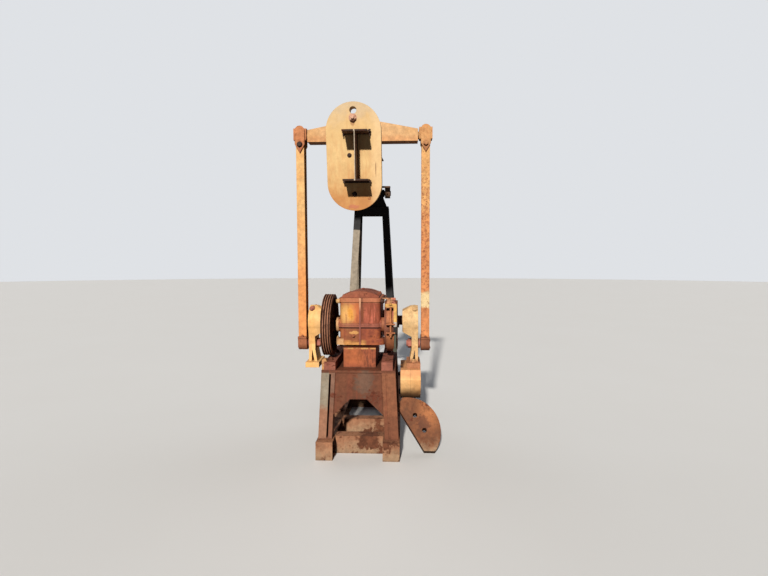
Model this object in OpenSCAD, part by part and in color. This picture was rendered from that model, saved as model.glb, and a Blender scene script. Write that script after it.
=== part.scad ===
// Small beam pumping unit for an oil well: skid, reducer stand, gear reducer, cranks,
// walking beam on a four-legged post, and a tail counterweight
// Origin: ground level on the centre line, straight under the crankshaft
// +X to the right seen from the tail, +Y forward to the well, +Z up

/* [Layout] */
// Height of the crankshaft's axis above the ground
crank_z = 1090; // [1060:5:1120]
// Distance forward from the crankshaft to the saddle shaft
saddle_y = 1100; // [1080:5:1140]
// Height of the saddle shaft's axis above the ground
saddle_z = 2500; // [2480:5:2540]
// Slope of the walking beam at rest, tail down, in degrees
beam_slope = 9.2; // [8.5:0.1:10]

/* [Skid] */
// Depth of the rolled beams of the skid
skid_h = 150; // [130:5:160]
// Flange width of the skid rails
rail_w = 141; // [130:1:150]
// Flange thickness of the skid beams
skid_flange_t = 10; // [8:1:12]
// Web thickness of the skid beams
skid_web_t = 8; // [6:1:10]
// Thickness of the plates that close the rails' ends
rail_end_t = 10; // [6:1:14]
// Distance from the centre line to the middle of a rail
rail_x = 278; // [270:1:285]
// Distance back from the crankshaft to the rails' rear ends
skid_rear = 620; // [600:5:680]
// Distance forward from the saddle shaft to the rails' front ends
skid_front = 740; // [700:5:800]
// Flange width of the cross beams
cross_w = 100; // [80:5:120]
// Distance back from the crankshaft to the rear cross beam
rear_cross_back = 420; // [380:5:430]
// Radius of the anchor bolt holes
anchor_hole_r = 11; // [9:1:14]
// Distance from a rail's end to its anchor bolt holes
anchor_inset = 70; // [50:5:110]
// Distance from a rail's middle out to its anchor bolt holes
anchor_offset = 45; // [35:1:50]

/* [Reducer stand] */
// Height of the stand's top face above the ground
stand_z = 730; // [700:5:760]
// Width of the stand across its legs at the top
stand_top_w = 625; // [600:5:640]
// Width of the stand across its feet
stand_foot_w = 680; // [650:5:685]
// Distance back from the crankshaft to the stand's rear face
stand_rear = 550; // [540:5:580]
// Distance forward from the crankshaft to the stand's front face
stand_front = 260; // [250:5:300]
// Thickness of the top plate
stand_plate_t = 20; // [12:1:25]
// Depth of a leg, front to back
leg_d = 100; // [80:5:120]
// Width of a leg's outer channel
leg_channel_w = 68; // [60:1:75]
// Width of the slot between a leg's channel and its angle
leg_slot_w = 15; // [10:1:20]
// Width of a leg's inner angle
leg_angle_w = 34; // [28:1:40]
// Wall thickness of the leg sections
leg_t = 8; // [6:1:10]
// Thickness of the pads at a leg's head and foot
leg_pad_t = 12; // [10:1:16]
// Thickness of the rear and front plates
end_plate_t = 12; // [8:1:16]
// Height of the rear plate's lower corners above the ground
end_plate_low = 350; // [320:5:400]
// Height of the top of the rear plate's notch above the ground
notch_z = 486; // [460:2:520]
// Width of the top of the notch
notch_w = 144; // [120:2:170]
// Depth of the rails on the stand's top
top_rail_h = 70; // [60:1:80]
// Width of the rails on the stand's top
top_rail_w = 96; // [80:1:100]
// Distance from the centre line to the outer face of a top rail
top_rail_x = 290; // [280:1:300]
// Wall thickness of the top rails
top_rail_t = 9; // [6:1:12]

/* [Pedestal] */
// Width of the box under the gear case
pedestal_w = 280; // [260:2:300]
// Height of the box under the gear case
pedestal_h = 170; // [160:1:175]
// Distance back from the crankshaft to the box's rear face
pedestal_rear = 430; // [400:5:460]
// Distance forward from the crankshaft to the box's front face
pedestal_front = 170; // [150:5:200]
// Wall thickness of the box
pedestal_t = 14; // [10:1:20]

/* [Gear case] */
// Width of the gear case
case_w = 360; // [340:2:370]
// Stand-out of the flanges round the gear case
case_flange_out = 8; // [5:1:12]
// Distance back from the crankshaft to the case's rear face
case_rear = 400; // [395:1:405]
// Distance forward from the crankshaft to the case's front face
case_front = 200; // [190:5:220]
// Height of the case's foot flange above the pedestal
case_pad_h = 20; // [15:1:30]
// Radius of the case's upright corners
case_corner_r = 40; // [25:1:50]
// Thickness of the case's foot flange
case_foot_t = 26; // [20:1:32]
// Width of the lugs at the case's foot, front to back
case_lug_w = 76; // [60:2:90]
// Height of the lugs at the case's foot
case_lug_h = 56; // [40:2:64]
// Stand-out of the lugs beyond the case's flange
case_lug_out = 25; // [15:1:40]
// Width of the pads under the case
case_pad_w = 70; // [50:2:90]
// Distance from the pedestal's ends to the pads
case_pad_in = 70; // [20:5:80]
// Thickness of each half of the split flange
split_flange_t = 16; // [12:1:20]
// Height of the case's top face above the crankshaft
case_top_h = 240; // [230:5:250]
// Thickness of the flange under the cover
cover_flange_t = 37; // [30:1:40]
// Rise of the vaulted cover
cover_rise = 48; // [35:1:60]
// Width of the vaulted cover
cover_w = 330; // [300:5:340]
// Thickness of the vaulted cover's edge
cover_edge_t = 12; // [8:1:16]
// Width of the rib down the case's rear and front
case_rib_w = 16; // [12:1:24]
// Stand-out of the rib
case_rib_d = 10; // [6:1:14]
// Distance back from the crankshaft to the breather
breather_back = 100; // [60:5:160]
// Radius of the breather's cap
breather_r = 15; // [12:1:22]
// Height of the breather
breather_h = 18; // [12:1:30]

/* [Shafts] */
// Radius of the crankshaft
crankshaft_r = 45; // [40:1:48]
// Distance back from the crankshaft to the drive shaft
drive_back = 330; // [325:1:340]
// Radius of the drive shaft
drive_r = 25; // [20:1:30]
// Radius of the crankshaft's bearing caps
crank_cap_r = 100; // [85:1:110]
// Radius of the drive shaft's bearing caps
drive_cap_r = 64; // [55:1:66]
// Stand-out of the crankshaft's bearing caps
cap_t = 28; // [20:1:34]
// Stand-out of the drive shaft's bearing caps
drive_cap_t = 24; // [16:1:26]
// Stand-out of the drive shaft beyond its wheels
drive_stub = 14; // [8:1:30]
// Running clearance of the shafts in their bearings, on the radius
run_fit = 0.1; // [0.05:0.01:0.2]
// Clearance of keyed and pressed parts on their shafts, on the radius
key_fit = 0.04; // [0.02:0.01:0.08]

/* [Sheave and brake] */
// Radius of the drive sheave
sheave_r = 270; // [255:1:274]
// Width of the drive sheave
sheave_w = 80; // [70:2:90]
// Gap between the drive shaft's bearing cap and the sheave
sheave_gap = 23; // [15:1:35]
// Number of V-grooves
grooves = 4; // [2:1:5]
// Depth of a V-groove
groove_d = 18; // [12:1:22]
// Radius of the sheave's hub
sheave_hub_r = 58; // [50:1:70]
// Thickness of the sheave's web
sheave_web_t = 16; // [12:1:24]
// Thickness of the sheave's rim under the grooves
sheave_rim_t = 20; // [14:1:28]
// Number of holes in the sheave's web
sheave_holes = 5; // [3:1:7]
// Radius of the holes in the sheave's web
sheave_hole_r = 46; // [30:1:52]
// Radius of the brake drum
drum_r = 216; // [200:1:220]
// Width of the brake drum
drum_w = 110; // [90:2:116]
// Gap between the drive shaft's bearing cap and the drum
drum_gap = 6; // [5:1:10]
// Thickness of the drum's rim
drum_rim_t = 16; // [12:1:22]
// Thickness of the brake band
band_t = 6; // [4:1:8]
// Width of the brake band
band_w = 76; // [60:2:84]
// Gap between the drum and the released band
band_gap = 5; // [3:0.5:7]
// Distance between the band's end lugs
band_mouth = 60; // [50:2:80]
// Stand-out of the band's end lugs
band_lug_l = 44; // [36:1:55]
// Thickness of the band's end lugs and of its bracket
band_lug_t = 12; // [8:1:16]
// Width of the bracket that anchors the band
band_bracket_w = 24; // [16:1:40]
// Height of the brake lever above the drive shaft
lever_h = 180; // [150:5:240]
// Radius of the brake lever's rod
lever_r = 8; // [6:1:10]
// Clearance of the rod in the lugs, on the radius
lever_fit = 1; // [0.5:0.5:2]
// Distance from the released band out to the rod
lever_out = 24; // [20:1:26]

/* [Cranks] */
// Throw of the cranks, shaft to wrist pin
crank_throw = 220; // [210:5:230]
// Gap between the wheels on the drive shaft and a crank's hub
crank_gap = 42; // [30:1:50]
// Length of a crank's hub along the crankshaft
crank_hub_l = 147; // [135:1:155]
// Thickness of a crank arm
crank_arm_t = 60; // [50:1:66]
// Radius of a crank's hub
crank_hub_r = 145; // [135:1:155]
// Radius of the hub's inward boss
crank_boss_r = 95; // [80:1:110]
// Half width of the crank arm at the wrist pin
crank_arm_r = 92; // [80:1:105]
// Radius from the shaft to the underside of the crank's foot
crank_foot_r = 430; // [420:2:440]
// Distance below the wrist pin to the fork of the crank's two legs
crank_fork_down = 50; // [44:1:60]
// Thickness of the crank's legs
crank_leg_t = 26; // [20:1:32]
// Length of the crank's legs at the foot, front to back
crank_leg_l = 200; // [180:5:240]
// Width of the clamping slot through the crank's hub
crank_slot_w = 8; // [4:1:12]
// Thickness of the crank's foot
crank_foot_t = 48; // [40:1:55]
// Length of the crank's foot, front to back
crank_foot_l = 300; // [260:5:340]
// Width of the crank's foot
crank_foot_w = 128; // [110:2:140]
// Stand-out of the crank's foot beyond the arm's outer face
crank_foot_out = 21; // [10:1:22]
// Radius of a wrist pin
wrist_r = 30; // [25:1:34]
// Size of a wrist pin's nut across its corners
wrist_nut_d = 92; // [80:1:100]
// Length of a wrist pin's nut
wrist_nut_l = 34; // [26:1:40]
// Stand-out of a wrist pin beyond its nut
wrist_thread_l = 15; // [5:1:20]
// Length of a wrist pin's collar beyond the crank arm
wrist_collar_l = 23; // [18:1:30]
// Radius of a wrist pin's collar
wrist_collar_r = 45; // [36:1:50]

/* [Crank counterweight] */
// Thickness of a counterweight
weight_t = 184; // [160:2:186]
// Stand-out of the counterweight beyond the crank arm's outer face
weight_out = 20; // [10:1:21]
// Width of a counterweight at its widest, front to back
weight_w = 530; // [510:5:550]
// Width of a counterweight's flat top
weight_top_w = 430; // [400:5:450]
// Depth of a counterweight's sloping sides under its flat top
weight_side = 80; // [70:5:100]
// Height of a counterweight from its flat top to its crown
weight_h = 305; // [290:5:315]
// Radius of the holes through a counterweight
weight_hole_r = 20; // [14:1:26]
// Distance between the holes through a counterweight
weight_hole_gap = 150; // [110:5:200]
// Depth of those holes under the flat top
weight_hole_down = 95; // [70:5:130]

/* [Pitmans and equalizer] */
// Flange width of a pitman
pitman_w = 76; // [70:1:80]
// Depth of a pitman, front to back
pitman_d = 102; // [90:2:110]
// Flange and web thickness of a pitman
pitman_t = 8; // [6:0.5:10]
// Width of a wrist bearing's box
wrist_box_w = 84; // [76:1:92]
// Height of a wrist bearing's box above and below its axis
wrist_box_r = 68; // [60:1:76]
// Length of the foot on top of a wrist bearing, front to back
wrist_foot_l = 154; // [140:2:170]
// Thickness of that foot
wrist_foot_t = 16; // [12:1:20]
// Depth of the bore in a wrist bearing
wrist_bore_l = 62; // [50:1:70]
// Play of a wrist pin in its bearing, on the radius
wrist_play = 4; // [2:0.5:6]
// Gap between the end of a wrist pin and its bearing's box
wrist_gap = 5; // [4:0.5:8]
// Height of a pitman head above the equalizer's axis
head_top = 90; // [80:2:100]
// Depth of a pitman head's strap below the equalizer's axis
head_tip = 160; // [140:5:180]
// Width of a pitman head
head_w = 122; // [114:1:128]
// Width of a pitman head's strap
strap_w = 92; // [84:1:100]
// Thickness of a pitman head's strap
strap_t = 14; // [10:1:18]
// Radius of a pitman head's pin
head_pin_r = 14; // [10:1:18]
// Depth of a pitman head's pin below the equalizer's axis
head_pin_down = 82; // [70:2:100]
// Gap between the equalizer's end and a pitman head
head_gap = 12; // [8:1:24]
// Depth of the equalizer below its axis
equalizer_low = 62; // [56:1:66]
// Height of the equalizer's top above its axis at the ends
equalizer_end_h = 48; // [44:1:60]
// Height of the equalizer's top above its axis in the middle
equalizer_mid_h = 125; // [110:5:140]
// Width of the level stretch on top of the equalizer
equalizer_level = 240; // [200:10:300]
// Thickness of the equalizer, front to back
equalizer_t = 130; // [110:5:150]
// Radius of the round stubs that carry the pitman heads
equalizer_stub_r = 36; // [30:1:44]
// Half width of the arch over the tail bearing
arch_x = 100; // [96:1:110]
// Clearance between the arch and the tail bearing's housing
arch_gap = 8; // [6:1:14]
// Radius of the equalizer's shaft
tail_shaft_r = 28; // [24:1:32]
// Distance from the centre line to the shaft's ends
tail_shaft_x = 170; // [150:5:190]

/* [Walking beam] */
// Depth of the walking beam
beam_h = 390; // [380:2:400]
// Flange width of the walking beam
beam_w = 200; // [190:1:204]
// Flange thickness of the walking beam
beam_flange_t = 13; // [10:1:16]
// Web thickness of the walking beam
beam_web_t = 9; // [7:1:12]
// Length of the walking beam behind the saddle shaft
beam_tail = 1900; // [1860:5:1940]
// Length of the walking beam in front of the saddle shaft
beam_front = 1000; // [960:5:1040]
// Height of the beam's underside above the saddle shaft
beam_seat = 86; // [80:1:90]
// Distance along the beam from the saddle shaft back to the tail bearing
tail_bearing_back = 1152; // [1140:1:1165]
// Height of the tail bearing's axis above the beam
tail_bearing_up = 46; // [44:1:52]
// Radius of the tail bearing's housing
tail_bearing_r = 54; // [50:1:56]
// Length of the tail bearing along its shaft
tail_bearing_l = 150; // [130:2:160]
// Length of the tail bearing's base along the beam
tail_base_l = 230; // [200:5:260]
// Thickness of the tail bearing's base
tail_base_t = 16; // [12:1:18]

/* [Tail counterweight] */
// Width of the oval weight
oval_w = 450; // [430:5:470]
// Height of the oval weight
oval_h = 870; // [840:5:900]
// Thickness of the oval weight
oval_t = 100; // [80:5:120]
// Distance along the beam from its tail end to the oval weight
oval_in = 175; // [140:5:200]
// Distance from the middle of the beam left to the middle of the oval weight
oval_left = 25; // [10:1:40]
// Lean of the oval weight to the left in its own plane, in degrees
oval_lean = 0.4; // [0:0.1:1]
// Clearance round the beam in the oval weight's slot
oval_fit = 3; // [2:0.5:5]
// Radius of the lifting hole
lift_hole_r = 28.5; // [22:0.5:34]
// Distance from the top of the oval weight to the lifting hole
lift_hole_down = 66; // [55:1:80]
// Length of a clamp bar across the beam
clamp_l = 226; // [212:2:240]
// Width of a clamp bar along the beam
clamp_w = 40; // [30:2:50]
// Thickness of a clamp bar
clamp_t = 14; // [10:1:18]

/* [Saddle and post] */
// Radius of the saddle shaft
saddle_shaft_r = 30; // [26:1:32]
// Distance from the centre line to the saddle shaft's ends
saddle_shaft_x = 228; // [224:1:240]
// Distance from the centre line to a saddle bearing's inner face
saddle_block_x = 158; // [154:1:164]
// Width of a saddle bearing
saddle_block_w = 62; // [54:1:66]
// Radius of a saddle bearing's housing
saddle_block_r = 60; // [54:1:64]
// Length of the saddle plate along the beam
saddle_l = 260; // [220:5:300]
// Thickness of the saddle plate
saddle_t = 18; // [14:1:20]
// Radius of the post head's hub
post_hub_r = 46; // [44:1:47]
// Distance from the centre line to the hub's ends
post_hub_x = 150; // [140:1:152]
// Height of the post's cap plate above the ground
cap_z = 2320; // [2300:5:2340]
// Thickness of the post's cap plate
cap_plate_t = 20; // [14:1:24]
// Thickness of the post head's plates
post_head_t = 14; // [10:1:18]
// Depth of the post head, front to back
post_head_d = 150; // [130:5:170]
// Width of the post head on its cap plate
post_head_w = 372; // [350:2:390]
// Width of the post head at the shaft
post_head_top_w = 250; // [230:2:280]
// Width across the post's legs at the top
post_top_w = 408; // [396:2:420]
// Width across the post's legs at the foot
post_foot_w = 624; // [600:2:640]
// Width of a post leg's flanges
post_leg_w = 80; // [70:1:90]
// Thickness of a post leg
post_leg_t = 8; // [6:1:12]
// Thickness of the pads under the legs
post_pad_t = 10; // [8:1:16]
// Length of the pads under the legs
post_pad_l = 120; // [90:5:140]
// Distance back from the saddle shaft to the rear legs' feet
post_rear = 290; // [270:5:320]
// Distance forward from the saddle shaft to the front legs' feet
post_front = 640; // [600:5:680]
// Distance back from the saddle shaft to the rear legs' heads
post_head_rear = 100; // [80:5:110]
// Distance forward from the saddle shaft to the front legs' heads
post_head_front = 100; // [80:5:110]
// Depth of the cross bars between the legs
cross_bar_h = 60; // [50:1:75]
// Thickness of the cross bars between the legs
cross_bar_t = 8; // [6:1:12]
// Distance from a leg's outer edge in to the cross bars' ends
cross_bar_in = 16; // [8:1:30]
// Seating gap between a cross bar and the legs
seat_gap = 0.3; // [0.1:0.1:0.5]
// Height of the lower cross bars above the skid
low_bar_z = 820; // [700:10:950]

/* [Horsehead] */
// Depth of the horsehead from the beam's end to its face
head_depth = 250; // [220:5:280]
// Angle of the horsehead's top above the beam's line
head_up_a = 26; // [22:1:28]
// Angle of the horsehead's bottom below the beam's line
head_down_a = 12; // [8:1:14]
// Width of the horsehead's face
head_face_w = 130; // [110:2:140]
// Thickness of the horsehead's face and back
head_face_t = 12; // [8:1:16]
// Thickness of the horsehead's web
head_side_t = 12; // [8:1:16]
// Depth of the horsehead's rims at its two ends
head_rim = 60; // [50:1:70]
// Radius of the wireline hanger's pin hole
hanger_hole_r = 16; // [12:1:20]

/* [Loose counterweight] */
// Height of the loose weight from its flat top to its crown
loose_h = 258; // [245:1:275]
// Gap between the crank counterweight and the corner that the loose weight stands on
loose_gap = 18; // [12:1:40]
// Distance back from the crankshaft to that corner
loose_back = 440; // [430:5:480]
// Lean of its face away from upright, in degrees
loose_lean = 34; // [26:1:38]
// Thickness of the loose weight
loose_t = 86; // [70:2:100]

/* [Hidden] */
$fn = 64;
eps = 1;
case_foot_z = stand_z + pedestal_h + case_pad_h;
// Across the machine, from the gear case out to the pitmans
case_flange_w = case_w + 2 * case_flange_out;
drive_cap_x = case_flange_w / 2 + drive_cap_t;
sheave_x = drive_cap_x + sheave_gap + sheave_w;
drum_x = drive_cap_x + drum_gap + drum_w;
crank_hub_x = max(sheave_x, drum_x) + crank_gap;
crank_x = crank_hub_x + crank_hub_l;
crank_arm_in = crank_x - crank_arm_t;
weight_x = crank_x + weight_out;
wrist_pin_x = crank_x + wrist_collar_l;
wrist_box_x = wrist_pin_x + wrist_gap;
pitman_x = wrist_box_x + wrist_box_w / 2;
equalizer_x = pitman_x - head_w / 2 - head_gap;
loose_x = weight_x + loose_gap;
head_r = beam_front + head_depth;
drive_y = -drive_back;
tail_y = -tail_bearing_back;
tail_up = beam_seat + beam_h + tail_bearing_up;
// The tail bearing's place with the beam at rest
rest_tail_y = saddle_y + tail_y * cos(beam_slope) - tail_up * sin(beam_slope);
rest_tail_z = saddle_z + tail_y * sin(beam_slope) + tail_up * cos(beam_slope);
wrist_z = crank_z - crank_throw;
pitman_l = norm([rest_tail_y, rest_tail_z - wrist_z]);
pitman_lean = atan2(-rest_tail_y, rest_tail_z - wrist_z);
leg_z0 = skid_h;
leg_z1 = stand_z - stand_plate_t;
leg_w = leg_channel_w + leg_slot_w + leg_angle_w;
cross_flange_x = rail_x - rail_w / 2;
skid_front_y = saddle_y + skid_front;
cross_ys = [-rear_cross_back, 0, saddle_y - post_rear, saddle_y + post_front];
post_z0 = skid_h + post_pad_t;
post_z1 = cap_z - cap_plate_t;

// Frames that the moving pieces are drawn in

// The walking beam's frame: origin on the saddle shaft, +Y along the beam to the well
module beam_frame() {
    translate([0, saddle_y, saddle_z]) rotate([beam_slope, 0, 0]) children();
}

// The pitmans' frame: origin on the equalizer's shaft, -Z down the pitmans
module pitman_frame() {
    translate([0, rest_tail_y, rest_tail_z]) rotate([pitman_lean, 0, 0]) children();
}

// The cranks' frame: origin on the crankshaft, -Z down the cranks
module crank_frame() {
    translate([0, 0, crank_z]) children();
}

// The drive shaft's frame
module drive_frame() {
    translate([0, drive_y, crank_z]) children();
}

// The child, and its mirror image on the other side of the centre line
module both_sides() {
    children();
    mirror([1, 0, 0]) children();
}

// Shapes that several pieces share

// A cylinder along +X from x = 0
module rod_x(r, l) {
    rotate([0, 90, 0]) cylinder(r = r, h = l);
}

// A 2D outline drawn in X and Z, pushed from y = 0 to y = l
module slab_y(l) {
    translate([0, l, 0]) rotate([90, 0, 0]) linear_extrude(l) children();
}

// A 2D outline drawn in Y and Z, pushed from x = 0 to x = l
module slab_x(l) {
    rotate([90, 0, 90]) linear_extrude(l) children();
}

// Rolled I-section, standing on y = 0
module i_section(h, w, flange_t, web_t) {
    translate([-w / 2, 0]) square([w, flange_t]);
    translate([-w / 2, h - flange_t]) square([w, flange_t]);
    translate([-web_t / 2, flange_t - eps]) square([web_t, h - 2 * flange_t + 2 * eps]);
}

// Rectangle with round corners, centred on X, from y0 to y1
module round_plan(w, y0, y1, r) {
    translate([-w / 2 + r, y0]) square([w - 2 * r, y1 - y0]);
    translate([-w / 2, y0 + r]) square([w, y1 - y0 - 2 * r]);
    for (x = [-w / 2 + r, w / 2 - r], y = [y0 + r, y1 - r]) translate([x, y]) circle(r);
}

// Skid

module skid_rails() {
    color("saddlebrown") both_sides() difference() {
        union() {
            translate([rail_x, -skid_rear, 0])
                slab_y(skid_front_y + skid_rear) i_section(skid_h, rail_w, skid_flange_t, skid_web_t);
            for (y = [-skid_rear, skid_front_y - rail_end_t])
                translate([rail_x - rail_w / 2, y, 0]) cube([rail_w, rail_end_t, skid_h]);
        }
        for (y = [-skid_rear + anchor_inset, skid_front_y - anchor_inset])
            translate([rail_x + anchor_offset, y, -eps])
                cylinder(r = anchor_hole_r, h = skid_flange_t + 2 * eps);
    }
}

// Channels between the rails, their webs toward the tail
module skid_cross_beams() {
    web_h = skid_h - 2 * skid_flange_t;
    web_x = rail_x - skid_web_t / 2;
    color("sienna") for (y = cross_ys) translate([0, y, 0]) {
        translate([-cross_flange_x, -cross_w / 2, 0]) cube([2 * cross_flange_x, cross_w, skid_flange_t]);
        translate([-cross_flange_x, -cross_w / 2, skid_h - skid_flange_t])
            cube([2 * cross_flange_x, cross_w, skid_flange_t]);
        translate([-web_x, -cross_w / 2, skid_flange_t]) cube([2 * web_x, skid_web_t, web_h]);
    }
}

// Reducer stand

// Strip of a leaning leg, from d0 to d1 inward of the leg's outer edge
module leg_strip(d0, d1) {
    polygon([
        [stand_foot_w / 2 - d0, leg_z0], [stand_top_w / 2 - d0, leg_z1],
        [stand_top_w / 2 - d1, leg_z1], [stand_foot_w / 2 - d1, leg_z0]
    ]);
}

// One leg: a channel and an angle side by side, on a foot pad and under a head pad
module stand_leg() {
    angle_out = leg_channel_w + leg_slot_w;
    slab_y(leg_t) leg_strip(0, leg_channel_w);
    slab_y(leg_d) leg_strip(0, leg_t);
    slab_y(leg_d) leg_strip(leg_channel_w - leg_t, leg_channel_w);
    slab_y(leg_t) leg_strip(angle_out, leg_w);
    slab_y(leg_d) leg_strip(leg_w - leg_t, leg_w);
    intersection() {
        slab_y(leg_d) leg_strip(0, leg_w);
        for (z = [leg_z0, leg_z1 - leg_pad_t]) translate([0, 0, z]) cube([stand_foot_w, leg_d, leg_pad_t]);
    }
}

// The rear and front legs of the right-hand side
module stand_legs() {
    translate([0, -stand_rear, 0]) stand_leg();
    translate([0, stand_front, 0]) mirror([0, 1, 0]) stand_leg();
}

module right_stand_legs() {
    color("sienna") stand_legs();
}

module left_stand_legs() {
    color("dimgray") mirror([1, 0, 0]) stand_legs();
}

// Plate between two legs, with a sloping notch in its lower edge
module end_plate() {
    drop = (leg_z1 - end_plate_low) / (leg_z1 - leg_z0);
    top_x = stand_top_w / 2 - leg_w;
    low_x = top_x + (stand_foot_w - stand_top_w) / 2 * drop;
    slab_y(end_plate_t) polygon([
        [-top_x, leg_z1], [-low_x, end_plate_low], [-notch_w / 2, notch_z],
        [notch_w / 2, notch_z], [low_x, end_plate_low], [top_x, leg_z1]
    ]);
}

module stand_end_plates() {
    color("sienna") {
        translate([0, leg_t - stand_rear, 0]) end_plate();
        translate([0, stand_front - leg_t, 0]) mirror([0, 1, 0]) end_plate();
    }
}

module stand_top_plate() {
    color("indianred") translate([-stand_top_w / 2, -stand_rear, leg_z1])
        cube([stand_top_w, stand_rear + stand_front, stand_plate_t]);
}

// Channel rails beside the pedestal, open outward
module stand_top_rails() {
    rail_l = stand_rear + stand_front - 2 * leg_t;
    color("indianred") both_sides() translate([top_rail_x - top_rail_w, leg_t - stand_rear, stand_z]) {
        cube([top_rail_w, rail_l, top_rail_t]);
        translate([0, 0, top_rail_h - top_rail_t]) cube([top_rail_w, rail_l, top_rail_t]);
        cube([top_rail_t, rail_l, top_rail_h]);
    }
}

module pedestal() {
    l = pedestal_rear + pedestal_front;
    color("chocolate") translate([-pedestal_w / 2, -pedestal_rear, stand_z]) difference() {
        cube([pedestal_w, l, pedestal_h]);
        translate([pedestal_t, pedestal_t, -eps])
            cube([pedestal_w - 2 * pedestal_t, l - 2 * pedestal_t, pedestal_h - pedestal_t + eps]);
    }
}

// Gear case

// Bores for the two shafts, open over the case's whole width
module shaft_bores() {
    translate([-case_w, 0, crank_z]) rod_x(crankshaft_r + run_fit, 2 * case_w);
    translate([-case_w, drive_y, crank_z]) rod_x(drive_r + run_fit, 2 * case_w);
}

// A band of the case's plan between two heights
module case_band(w, z0, z1) {
    grow = (w - case_w) / 2;
    translate([0, 0, z0]) linear_extrude(z1 - z0)
        round_plan(w, -case_rear - grow, case_front + grow, case_corner_r + grow);
}

// Upright ribs down the middle of the case's rear and front faces
module case_ribs(z0, z1) {
    translate([-case_rib_w / 2, -case_rear - case_rib_d, z0])
        cube([case_rib_w, case_rear + case_front + 2 * case_rib_d, z1 - z0]);
}

// Round bosses that the bearing caps seat on, between two heights
module case_bosses(z0, z1) {
    intersection() {
        for (seat = [[0, crank_cap_r], [drive_y, drive_cap_r]])
            translate([-case_flange_w / 2, seat[0], crank_z]) rod_x(seat[1], case_flange_w);
        translate([-case_flange_w, -case_rear, z0]) cube([2 * case_flange_w, case_rear + case_front, z1 - z0]);
    }
}

module gear_case_base() {
    color("goldenrod") difference() {
        union() {
            case_band(case_w, case_foot_z, crank_z);
            case_band(case_flange_w, case_foot_z, case_foot_z + case_foot_t);
            case_band(case_flange_w, crank_z - split_flange_t, crank_z);
            case_ribs(case_foot_z, crank_z);
            case_bosses(case_foot_z, crank_z);
            for (y = [-case_rear + case_lug_w / 2, case_front - case_lug_w / 2])
                translate([-case_flange_w / 2 - case_lug_out, y, case_foot_z])
                    linear_extrude(case_lug_h) round_plan_x(case_flange_w + 2 * case_lug_out, case_lug_w);
            for (x = [-pedestal_w / 2, pedestal_w / 2 - case_pad_w],
                 y = [-pedestal_rear + case_pad_in, pedestal_front - case_pad_in - case_pad_w])
                translate([x, y, case_foot_z - case_pad_h]) cube([case_pad_w, case_pad_w, case_pad_h + eps]);
        }
        shaft_bores();
    }
}

// Bar with round ends, along +X from x = 0 and centred on Y
module round_plan_x(l, w) {
    translate([w / 2, -w / 2]) square([l - w, w]);
    for (x = [w / 2, l - w / 2]) translate([x, 0]) circle(w / 2);
}

module gear_case_top() {
    top = crank_z + case_top_h;
    color("orange") difference() {
        union() {
            case_band(case_w, crank_z, top);
            case_band(case_flange_w, crank_z, crank_z + split_flange_t);
            case_band(case_flange_w, top - cover_flange_t, top);
            case_ribs(crank_z, top);
            case_bosses(crank_z, top);
        }
        shaft_bores();
    }
}

// Vaulted lid with a breather
module gear_case_cover() {
    z = crank_z + case_top_h;
    vault_r = (pow(cover_w / 2, 2) + pow(cover_rise, 2)) / (2 * cover_rise);
    y0 = -case_rear + case_corner_r / 2;
    y1 = case_front - case_corner_r / 2;
    color("orange") {
        translate([0, 0, z]) linear_extrude(cover_edge_t) round_plan(cover_w, y0, y1, case_corner_r / 2);
        intersection() {
            translate([0, y1, z + cover_edge_t + cover_rise - vault_r]) rotate([90, 0, 0])
                cylinder(r = vault_r, h = y1 - y0, $fn = 128);
            translate([-cover_w / 2, y0, z]) cube([cover_w, y1 - y0, cover_edge_t + cover_rise]);
        }
        translate([0, -breather_back, z + cover_rise]) {
            cylinder(r = breather_r / 2, h = breather_h);
            translate([0, 0, breather_h]) cylinder(r = breather_r, h = breather_h / 2);
        }
    }
}

// Round caps over the bearings on the case's two sides
module bearing_caps() {
    color("peru") both_sides() difference() {
        translate([case_flange_w / 2, 0, crank_z]) {
            rod_x(crank_cap_r, cap_t);
            translate([0, drive_y, 0]) rod_x(drive_cap_r, drive_cap_t);
        }
        shaft_bores();
    }
}

// Cranks

module crankshaft() {
    color("saddlebrown") crank_frame() translate([-crank_x, 0, 0]) rod_x(crankshaft_r, 2 * crank_x);
}

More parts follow.
